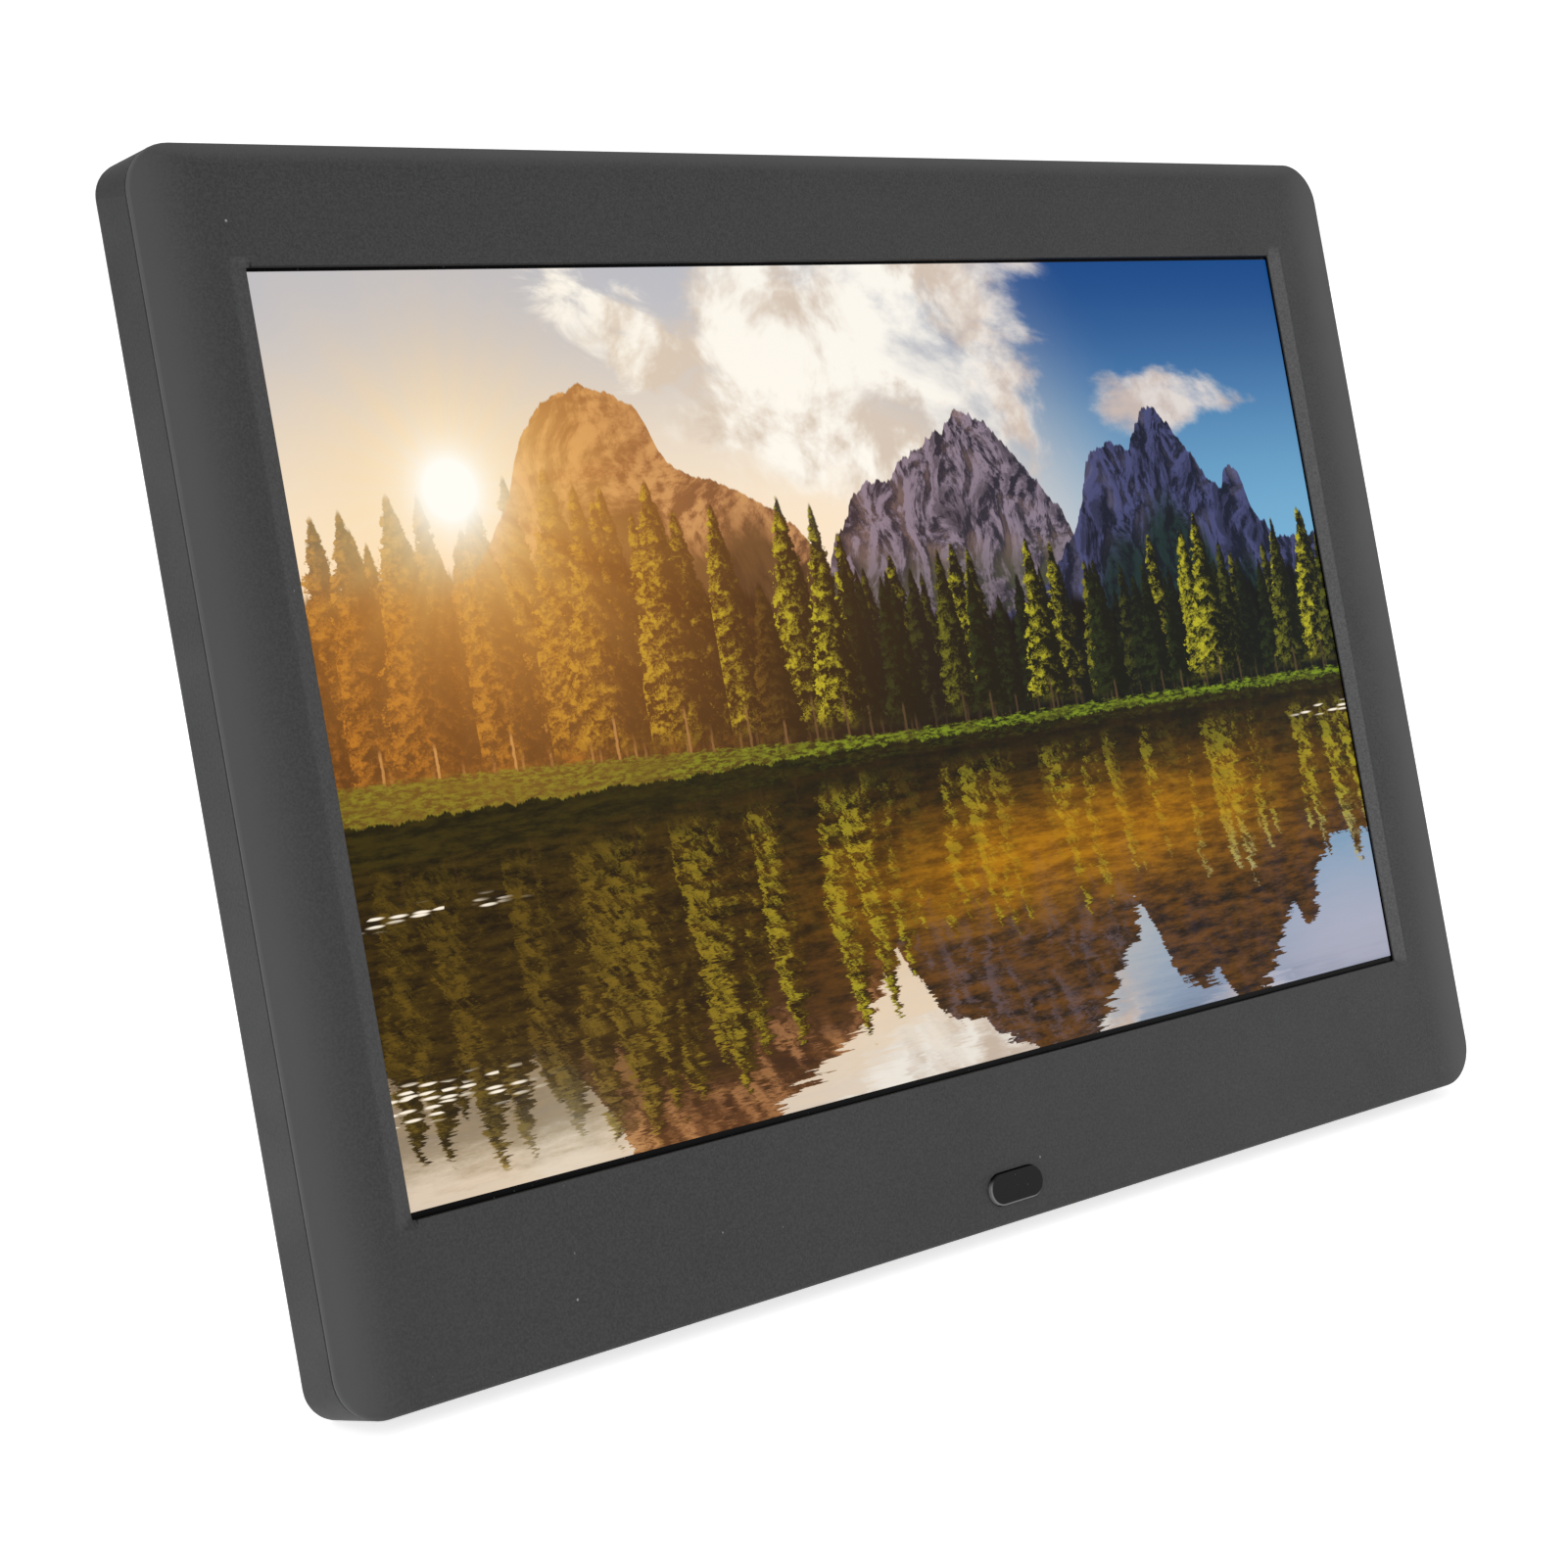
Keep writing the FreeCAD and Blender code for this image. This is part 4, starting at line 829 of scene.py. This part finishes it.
def forest(net, u, v, colour, above):
    """Six rows of conifers, from the dark wall behind to the lit trees by the water.
    The lake shows their sunlit sides, so they are greener and more golden in it."""
    below = 1.0 - above
    dusk = net.ramped(u, 0.50, 0.06) * (1.0 - below * 0.45)
    tops = net.flat_noise(u, 0.7, 34.0, 4.0, 0.7) - 0.5
    top = net.ramped(u, 0.10, 0.60, 0.665, 0.56) + tops * 0.10
    wall = net.ramped(top - v, 0.0, 0.02) * net.ramped(v, 0.39, 0.40)
    gap = net.mix(dusk, net.mix(below, "070a09", "262309"), "2a1808")
    colour = net.mix(wall, colour, gap)
    for wide, low, high, seed, lit, near in TREE_ROWS:
        inside, leafy, own, trunk = tree_row(net, u, v, wide, low, high, seed)
        chosen = net.ramped(own + (near - 0.5) * 0.4 + below * 0.24, 0.50, 0.85)
        deep = net.mix(near, "0a1113", "0e1408")
        glow = net.mix(chosen, "3a4a1e", "b6b034")
        share = net.least(lit + chosen * 0.55 + below * (0.10 + near * 0.25), 1.0)
        struck = net.ramped(leafy, 0.16 - below * 0.10, 0.80 - below * 0.25)
        leaf = net.mix(struck * share, deep, glow)
        evening = net.mix(net.ramped(leafy, 0.05, 0.85), "241305", "a86f28")
        leaf = net.mix(dusk * 0.94, leaf, evening)
        colour = net.mix(inside, colour, leaf)
        colour = net.mix(trunk * near * 0.8, colour, net.mix(dusk, "5c4a33", "c99a66"))
    return colour


def shore(net, u, v, colour):
    """A low bank of grass, greener and brighter on the right, rising a little to the left."""
    rise = net.ramped(u, 0.55, 0.0, 0.0, 0.030)
    tuft = net.flat_noise(u * ASPECT, v * 3.0, 70.0, 5.0, 0.7)
    patch = net.flat_noise(u * ASPECT, v * 5.0, 11.0, 3.0, 0.6)
    bank = net.ramped(SHORE + 0.012 + rise + (tuft - 0.5) * 0.018 - v, -0.003, 0.003)
    grass = net.mix(net.ramped(tuft, 0.38, 0.62), "26300c", "7f9128")
    grass = net.mix(net.ramped(patch, 0.45, 0.65) * 0.5, grass, "5b5c1c")
    grass = net.mix(net.ramped(u, 0.55, 0.15) * 0.45, grass, "4c4a16")
    return net.mix(bank, colour, grass)


def sunlight(net, u, v, colour, land, above):
    """The sun's white heart, its golden halo and the haze that it lights over the land."""
    du = (u - SUN[0]) * ASPECT
    dv = v - SUN[1]
    away = net.math("SQRT", du * du + dv * dv)
    turn = net.math("ARCTAN2", dv, du)
    rays = net.flat_noise(turn * 1.6, 0.3, 3.0, 2.0, 0.6)
    heart = net.math("EXPONENT", away * HEART_FALL)
    halo = net.math("EXPONENT", away * HALO_FALL) * (0.55 + rays * 0.9)
    seen = net.blend(above, 0.30, 1.0)
    glow = net.mix(land, "fff0cf", "ff9f38")
    reach = net.blend(land, -3.4, -4.8)
    haze = net.math("EXPONENT", away * reach)
    colour = net.mix(haze * seen * net.blend(land, 0.20, 0.62), colour, glow)
    colour = net.mix(halo * seen * 0.85, colour, "ffd486")
    return net.mix(net.least(heart * 3.0, 1.0) * seen, colour, (1.0, 0.98, 0.9))


def water(net, u, v, seen, above):
    """The lake's own colour over what it mirrors."""
    down = net.ramped(v, SHORE, 0.0)
    streaks = net.flat_noise(u * 1.4, v * 17.0, 5.0, 5.0, 0.6, 0.2)
    bed = net.flat_noise(u * ASPECT, v * 4.5, 16.0, 6.0, 0.7)
    gold = net.ramped(abs(v - 0.245 - (u - 0.6) * 0.06), 0.13, 0.0)
    gold = gold * net.ramped(u, 0.28, 0.58) * net.ramped(u, 1.08, 0.72)
    brown = net.mix(net.ramped(bed, 0.3, 0.7), "2c1d09", "84591a")
    brown = net.mix(gold, brown, net.mix(net.ramped(bed, 0.3, 0.7), "8a5c0c", "c08a1c"))
    bright = net.parts(seen)[1]
    tinted = net.mix(net.ramped(bright, 0.42, 0.14, 0.10, 0.72), seen, "7a5c2c", "MULTIPLY")
    lake = net.mix(net.blend(down, 0.30, 0.12) + gold * 0.50, tinted, brown)
    far = net.ramped(streaks, 0.56, 0.72) * net.ramped(down, 0.5, 0.05)
    lake = net.mix(far * 0.30, lake, "5d4818")
    edge = net.ramped(SHORE - v, 0.11, 0.004)
    lake = net.mix(edge * 0.70, lake, net.mix(net.ramped(u, 0.15, 0.6), "2a260c", "17140a"))
    murk = net.ramped(bright, 0.32, 0.08) * net.ramped(v, 0.32, 0.16) * net.ramped(u, 0.28, 0.5)
    lake = net.mix(murk * 0.6, lake, brown)
    shade_left = net.ramped(u, 0.40, 0.10) * net.ramped(v + (bed - 0.5) * 0.08, 0.0, 0.07)
    weed = net.mix(net.ramped(bed, 0.35, 0.65), "1c1606", "453a10")
    lake = net.mix(shade_left * 0.62, lake, weed)
    pale = net.ramped(bright, 0.16, 0.30) * net.ramped(u, 0.62, 0.95) * net.ramped(v, 0.26, 0.04)
    lake = net.mix(pale * 0.75, lake, "b9b7c6")
    wink, pick = net.cells(net.point(u * 60.0, v * 240.0), 1.0, dims="2D")
    band = net.ramped(abs(v - 0.11), 0.03, 0.004) * net.ramped(u, 0.16, 0.02)
    band = band + net.ramped(abs(v - 0.305), 0.016, 0.002) * net.ramped(u, 0.16, 0.05) * 0.7
    band = band + net.ramped(abs(v - 0.36), 0.012, 0.002) * net.ramped(u, 0.90, 0.97) * 0.6
    wink = net.ramped(wink, 0.55, 0.2) * net.ramped(pick + band * 0.55, 0.86, 1.0)
    lake = net.mix(wink * net.ramped(band, 0.05, 0.5), lake, "fff3df")
    return net.mix(above, lake, seen)


def punchy(net, colour):
    """The panel's own contrast: deeper darks, and colours that never go fully pure."""
    node = net.add("HueSaturation")
    node.inputs["Saturation"].default_value = 1.02
    net.feed(node.inputs["Color"], colour)
    bend = net.add("RGBCurve")
    line = bend.mapping.curves[3]
    line.points.new(0.10, 0.080)
    line.points.new(0.45, 0.455)
    bend.mapping.update()
    net.feed(bend.inputs["Color"], Wire(net, node.outputs["Color"]))
    return Wire(net, bend.outputs["Color"])


def picture_colours(net, u, v):
    """The whole picture.  Below the shore the same land is read upside down, with ripples."""
    rag = net.flat_noise(u * ASPECT, 0.4, 46.0, 4.0, 0.7)
    line = SHORE + (rag - 0.5) * 0.022
    above = net.ramped(v - line, -EDGE, EDGE)
    deep = net.ramped(v, SHORE, 0.0, 0.0, 1.0, False)
    swell = net.flat_noise(u * 2.4, v * 26.0, 4.0, 5.0, 0.6) - 0.5
    chop = net.flat_noise(u * 9.0, v * 90.0, 4.0, 3.0, 0.6) - 0.5
    mirrored = SHORE + (SHORE - v) * 0.92 + (swell * 0.06 + chop * 0.02) * deep
    shifted = u + (swell * 0.020 + chop * 0.016) * (deep + 0.15)
    y = net.blend(above, mirrored, v)
    x = net.blend(above, shifted, u)
    colour = sky(net, x, y)
    colour, land = mountains(net, x, y, colour)
    colour = forest(net, x, y, colour, above)
    colour = shore(net, x, y, colour)
    land = net.most(land, net.ramped(y, 0.74, 0.62))
    colour = sunlight(net, x, y, colour, land, above)
    return water(net, u, v, colour, above)


def lit_picture(brightness):
    """The panel's glass with the picture alight behind it."""
    material, net = new_material("lit_picture")
    chart = net.add("UVMap", uv_map="picture")
    u, v, _ = net.parts(Wire(net, chart.outputs["UV"]))
    colour = punchy(net, picture_colours(net, u, v))
    place = on_object(net)
    wave = net.noise(place, 0.6, 2.0)
    shine = 0.30 + (wave - 0.5) * 0.05
    surface = shade(net, 0.002, shine, wave, 0.004, 0.3, Specular_IOR_Level=0.05)
    net.feed(surface.inputs["Emission Color"], colour)
    surface.inputs["Emission Strength"].default_value = brightness
    material.cycles.emission_sampling = "NONE"
    return material


# ---------------------------------------------------------------- pieces
def millimetres(name, description, default, least=0.0):
    """A length, in the unit that the frame is drawn in."""
    return bpy.props.FloatProperty(
        name=name, description=description + ", in millimetres", default=default, min=least
    )


def strength(name, description, default):
    """How strong a light is."""
    return bpy.props.FloatProperty(
        name=name, description=description, default=default, min=0, soft_max=3, subtype="FACTOR"
    )


class PanelSizes(bpy.types.PropertyGroup):
    """The lit panel behind the window."""

    width: millimetres("Picture width", "Width of the lit picture", 216.96, 50)
    height: millimetres("Picture height", "Height of the lit picture", 135.6, 50)
    middle: millimetres("Picture middle", "Height of the picture's middle over the lower edge", 94.8)
    border_side: millimetres("Border, sides", "Dark glass at each side", 4.5)
    border_top: millimetres("Border, top", "Dark glass over the picture", 3.0)
    border_below: millimetres("Border, below", "Dark glass below the picture", 6.4)
    front: millimetres("Glass depth", "From the front face to the glass", 1.3)
    thick: millimetres("Glass thickness", "Thickness of the glass", 1.0)
    brightness: strength("Brightness", "Strength of the backlight", 1.0)


class MarkSizes(bpy.types.PropertyGroup):
    """The raised marks on the keys and beside the sockets."""

    reach: millimetres("Mark size", "Half the size of a key's mark", 1.35)
    line: millimetres("Line", "Width of a mark's lines", 0.38)
    raise_by: millimetres("Raised by", "Height of a mark over the plastic", 0.12)
    colour: bpy.props.FloatVectorProperty(
        name="Mark colour",
        description="Colour of the ink on the raised marks",
        subtype="COLOR",
        default=(0.46, 0.46, 0.45),
        min=0,
        max=1,
    )


class TrimSizes(bpy.types.PropertyGroup):
    """The cloth behind the speaker slots and the contacts in the sockets."""

    cloth_width: millimetres("Cloth width", "Width of a cloth", 32.6)
    cloth_height: millimetres("Cloth height", "Height of a cloth", 14.6)
    cloth_thick: millimetres("Cloth thickness", "Thickness of a cloth", 0.2)
    strip_length: millimetres("Contact length", "Length of a strip on the USB tongue", 7.4)
    strip_width: millimetres("Contact width", "Width of a strip on the USB tongue", 1.0)


class StageSizes(bpy.types.PropertyGroup):
    """The floor, the lights and the camera."""

    floor: bpy.props.FloatProperty(
        name="Floor", description="Half the floor's side", default=6.0, unit="LENGTH"
    )
    floor_colour: bpy.props.FloatVectorProperty(
        name="Floor colour", description="Colour of the floor", subtype="COLOR", default=(0.80, 0.80, 0.80)
    )
    lens: millimetres("Lens", "Focal length on a 36 mm sensor", 61.377)
    eye: bpy.props.FloatVectorProperty(
        name="Camera place",
        description="Where the camera stands",
        subtype="TRANSLATION",
        unit="LENGTH",
        default=(-0.29194, -0.34036, 0.16554),
    )
    gaze: bpy.props.FloatVectorProperty(
        name="Camera turn",
        description="The camera's turn about X, Y and Z",
        subtype="EULER",
        unit="ROTATION",
        default=(math.radians(78.196), math.radians(0.0111), math.radians(-38.894)),
    )
    backdrop: strength("Backdrop", "How bright the backdrop looks", 1.18)
    room: strength("Room light", "Strength of the light all round", 0.60)
    table: strength("Table glow", "Light that comes up through the floor", 0.70)


class FRAME_OT_finishes(bpy.types.Operator):
    """Give every part of the frame its finish"""

    bl_idname = "photo_frame.finishes"
    bl_label = "Finish the parts"

    def execute(self, context):
        slots = {m["slot"] for m in frame["record"]["materials"]}
        unknown = slots - set(FINISHES)
        if unknown:
            raise RuntimeError(f"no finish is written for {sorted(unknown)}")
        for part in frame["nodes"].values():
            for holder in part.material_slots:
                holder.material = finish(holder.material.name.split(".")[0])
        return {"FINISHED"}


class FRAME_OT_panel(bpy.types.Operator):
    """Make the panel's glass with the lit picture in its middle"""

    bl_idname = "photo_frame.panel"
    bl_label = "Lit panel"

    def execute(self, context):
        size = context.scene.frame_panel
        half = size.width / 2
        low = size.middle - size.height / 2
        high = size.middle + size.height / 2
        x0 = -half - size.border_side
        x1 = half + size.border_side
        z0 = low - size.border_below
        z1 = high + size.border_top
        bm = bmesh.new()
        middle = (0.0, size.front + size.thick / 2, (z0 + z1) / 2)
        plate(bm, (x1 - x0, size.thick, z1 - z0), middle)
        cuts = [((edge, 0, 0), (1, 0, 0)) for edge in (-half, half)]
        cuts += [((0, 0, edge), (0, 0, 1)) for edge in (low, high)]
        for place, way in cuts:
            whole = bm.verts[:] + bm.edges[:] + bm.faces[:]
            bmesh.ops.bisect_plane(bm, geom=whole, plane_co=place, plane_no=way)
        ease(bm, GLASS_EDGE)
        chart = bm.loops.layers.uv.new("picture")
        for face in bm.faces:
            x, y, z = face.calc_center_median()
            face.material_index = int(abs(x) < half and low < z < high and y < size.front + 0.01)
            for loop in face.loops:
                co = loop.vert.co
                loop[chart].uv = ((co.x + half) / size.width, (co.z - low) / size.height)
        if not any(face.material_index for face in bm.faces):
            raise RuntimeError("the lit picture has no face")
        looks = [finish("screen"), lit_picture(size.brightness)]
        glass = finished(bm, "panel_glass", frame_body("lcd_glass"), looks, False)
        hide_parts("lcd_glass")
        return {"FINISHED"}


def frame_body(node):
    """The body that a CAD node rides on."""
    return frame["nodes"][node]["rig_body"]


def printed():
    """Pale ink on a raised mark, a little rubbed off."""
    name = "mark_ink"
    if name not in bpy.data.materials:
        material, net = new_material(name)
        place = on_object(net)
        wear_and_light = net.noise(place, 2.2, 5.0, 0.7)
        grain = net.noise(place, 9.0, 2.0)
        ink = tuple(bpy.context.scene.frame_marks.colour)
        colour = net.mix(net.ramped(wear_and_light, 0.52, 0.74) * 0.6, ink, toned(ink, 0.35))
        shade(net, colour, 0.55 + (grain - 0.5) * 0.2, grain * 0.5 + wear_and_light * 0.5, 0.01, 0.6)
    return bpy.data.materials[name]


def key_mark(bm, key, centre, reach, line):
    """Flat faces of a key's mark, seen from behind the frame."""
    if key == "ok":
        return ring(bm, reach * 0.62 - line, reach * 0.62, centre, 48)
    if key == "power":
        gap = math.radians(38)
        faces = ring(bm, reach - line, reach, centre, 48, math.radians(90) + gap, math.tau - 2 * gap)
        return faces + bars(bm, centre, [(0, reach * 0.62)], line, reach * 0.95)
    if key == "menu":
        rows = [(0, step * reach * 0.72) for step in (-1, 0, 1)]
        return bars(bm, centre, rows, reach * 1.7, line)
    turns = {"up": 0, "left": 90, "down": 180, "right": -90}
    return disc(bm, reach * 0.95, centre, 3, math.radians(turns[key]))


class FRAME_OT_key_marks(bpy.types.Operator):
    """Make the raised mark on each key"""

    bl_idname = "photo_frame.key_marks"
    bl_label = "Key marks"

    def execute(self, context):
        size = context.scene.frame_marks
        for key, (x, z) in KEY_PLACES.items():
            bm = bmesh.new()
            root = KEY_TOP - KEY_DISH - KEY_MARK_ROOT
            faces = key_mark(bm, key, (x, root, z), size.reach, size.line)
            thicken(bm, faces, KEY_MARK_ROOT + size.raise_by)
            ease(bm, MARK_EDGE)
            finished(bm, "mark_" + key, frame_body("key_" + key), [printed()])
        return {"FINISHED"}


def port_mark(bm, port, centre, reach, line):
    """Flat faces of a plain sign beside a socket: a pin, earphones, a card or a plug."""
    if port == "power":
        return ring(bm, reach - line, reach, centre, 48) + disc(bm, reach * 0.28, centre, 24)
    if port == "sound":
        band = ring(bm, reach - line, reach, centre, 32, 0.0, math.pi)
        cups = [(side * (reach - line / 2), -reach * 0.42) for side in (-1, 1)]
        return band + bars(bm, centre, cups, line * 2.2, reach * 0.84)
    wide, tall = (reach * 1.5, reach * 2.0) if port == "card" else (reach * 2.0, reach * 1.2)
    sides = [(side * (wide - line) / 2, 0) for side in (-1, 1)]
    ends = [(0, side * (tall - line) / 2) for side in (-1, 1)]
    marks = [(side * wide * 0.2, tall * 0.12) for side in (-1, 1)]
    return [
        *bars(bm, centre, sides, line, tall),
        *bars(bm, centre, ends, wide - 2 * line, line),
        *bars(bm, centre, marks, line, tall * 0.3),
    ]


class FRAME_OT_port_marks(bpy.types.Operator):
    """Make the raised sign beside each socket"""

    bl_idname = "photo_frame.port_marks"
    bl_label = "Socket signs"

    def execute(self, context):
        size = context.scene.frame_marks
        bm = bmesh.new()
        for port, z in PORTS.items():
            place = (PORT_MARK_X, REAR_FACE - PORT_MARK_ROOT, z)
            faces = port_mark(bm, port, place, size.reach * 1.2, size.line)
            thicken(bm, faces, PORT_MARK_ROOT + size.raise_by)
        ease(bm, MARK_EDGE)
        finished(bm, "socket_signs", frame_body("rear_cover"), [printed()])
        return {"FINISHED"}


class FRAME_OT_trim(bpy.types.Operator):
    """Make the cloth behind the speaker slots and the contacts in the USB socket"""

    bl_idname = "photo_frame.trim"
    bl_label = "Cloth and contacts"

    def execute(self, context):
        size = context.scene.frame_trim
        cloth = (size.cloth_width, size.cloth_thick, size.cloth_height)
        for name, side in (("cloth_left", 1), ("cloth_right", -1)):
            bm = bmesh.new()
            plate(bm, cloth, (side * SPEAKER_X, CLOTH_Y, SPEAKER_Z))
            ease(bm, size.cloth_thick * 0.3)
            finished(bm, name, frame_body("speaker_cones"), [finish("cloth")])
        bm = bmesh.new()
        for step in USB_CONTACTS:
            middle = (TONGUE_X, TONGUE_Y - 0.04, PORTS["plug"] + step)
            plate(bm, (size.strip_length, STRIP_THICK, size.strip_width), middle)
        ease(bm, MARK_EDGE)
        finished(bm, "usb_contacts", frame_body("usb_tongue"), [finish("brass_pin")])
        return {"FINISHED"}


def placed(name, data, place=(0.0, 0.0, 0.0), turn=(0.0, 0.0, 0.0)):
    """A thing of the stage, linked to the scene."""
    thing = bpy.data.objects.new(name, data)
    thing.location = place
    thing.rotation_euler = turn
    bpy.context.scene.collection.objects.link(thing)
    return thing


def shining_from(way):
    """The turn of a light that stands in a direction and shines back along it."""
    return way.to_track_quat("Z", "Y").to_euler()


def make_floor(size):
    """A pale floor that glows a little, as a lit table does."""
    bm = bmesh.new()
    bmesh.ops.create_grid(bm, x_segments=1, y_segments=1, size=size.floor)
    mesh = bpy.data.meshes.new("floor")
    bm.to_mesh(mesh)
    bm.free()
    material, net = new_material("floor_paint")
    tone = net.noise(on_object(net), 0.004, 3.0)
    colour = net.mix(net.ramped(tone, 0.3, 0.7), size.floor_colour, toned(size.floor_colour, 0.985))
    table = shade(net, colour, 0.85 + (tone - 0.5) * 0.1, Specular_IOR_Level=0.1)
    table.inputs["Emission Color"].default_value = WHITE
    table.inputs["Emission Strength"].default_value = size.table
    mesh.materials.append(material)
    placed("floor", mesh)


def make_room(size):
    """Even light from all round, before a backdrop with its own brightness."""
    world = bpy.data.worlds.new("room")
    world.use_nodes = True
    net = Net(world.node_tree)
    glow = world.node_tree.nodes["Background"]
    glow.inputs["Color"].default_value = WHITE
    seen = Wire(net, net.add("LightPath").outputs["Is Camera Ray"])
    net.feed(glow.inputs["Strength"], net.blend(seen, size.room, size.backdrop))
    bpy.context.scene.world = world


def make_lights():
    """A soft light overhead and one at each side."""
    overhead = bpy.data.lights.new("overhead_soft", "SUN")
    overhead.energy = OVERHEAD_POWER
    overhead.angle = OVERHEAD_SPREAD
    placed("overhead_soft", overhead, turn=shining_from(OVERHEAD_FROM))
    for name, place, (wide, tall), power in SOFT_LIGHTS:
        light = bpy.data.lights.new(name, "AREA")
        light.shape = "RECTANGLE"
        light.size = wide
        light.size_y = tall
        light.energy = power
        placed(name, light, place, shining_from(Vector(place) - LIGHTS_AIM))


def make_camera(size):
    """The camera, before the frame's left side."""
    camera = bpy.data.cameras.new("camera")
    camera.lens = size.lens
    camera.sensor_width = SENSOR
    camera.clip_start = 0.01
    bpy.context.scene.camera = placed("camera", camera, size.eye, size.gaze)


class FRAME_OT_stage(bpy.types.Operator):
    """Make the floor, the soft lights and the camera"""

    bl_idname = "photo_frame.stage"
    bl_label = "Floor, lights and camera"

    def execute(self, context):
        size = context.scene.frame_stage
        make_floor(size)
        make_room(size)
        make_lights()
        make_camera(size)
        context.scene.view_settings.view_transform = "Standard"
        return {"FINISHED"}


class FRAME_PT_parts(bpy.types.Panel):
    """Lists the pieces and their sizes"""

    bl_idname = "FRAME_PT_parts"
    bl_label = "Photo Frame"
    bl_space_type = "VIEW_3D"
    bl_region_type = "UI"
    bl_category = "Photo Frame"

    def draw(self, context):
        scene = context.scene
        for holder in (scene.frame_panel, scene.frame_marks, scene.frame_trim, scene.frame_stage):
            box = self.layout.box()
            for name in holder.bl_rna.properties.keys():
                if name not in ("rna_type", "name"):
                    box.prop(holder, name)
        for operator in OPERATORS:
            self.layout.operator(operator.bl_idname)


OPERATORS = (
    FRAME_OT_finishes,
    FRAME_OT_panel,
    FRAME_OT_key_marks,
    FRAME_OT_port_marks,
    FRAME_OT_trim,
    FRAME_OT_stage,
)
GROUPS = {
    "frame_panel": PanelSizes,
    "frame_marks": MarkSizes,
    "frame_trim": TrimSizes,
    "frame_stage": StageSizes,
}


def register():
    for made in (*GROUPS.values(), *OPERATORS, FRAME_PT_parts):
        bpy.utils.register_class(made)
    for name, group in GROUPS.items():
        setattr(bpy.types.Scene, name, bpy.props.PointerProperty(type=group))


def unregister():
    for name in GROUPS:
        delattr(bpy.types.Scene, name)
    for made in reversed((*GROUPS.values(), *OPERATORS, FRAME_PT_parts)):
        bpy.utils.unregister_class(made)


def main():
    register()
    bpy.ops.photo_frame.finishes()
    bpy.ops.photo_frame.panel()
    bpy.ops.photo_frame.key_marks()
    bpy.ops.photo_frame.port_marks()
    bpy.ops.photo_frame.trim()
    bpy.ops.photo_frame.stage()


if __name__ == "__main__":
    main()
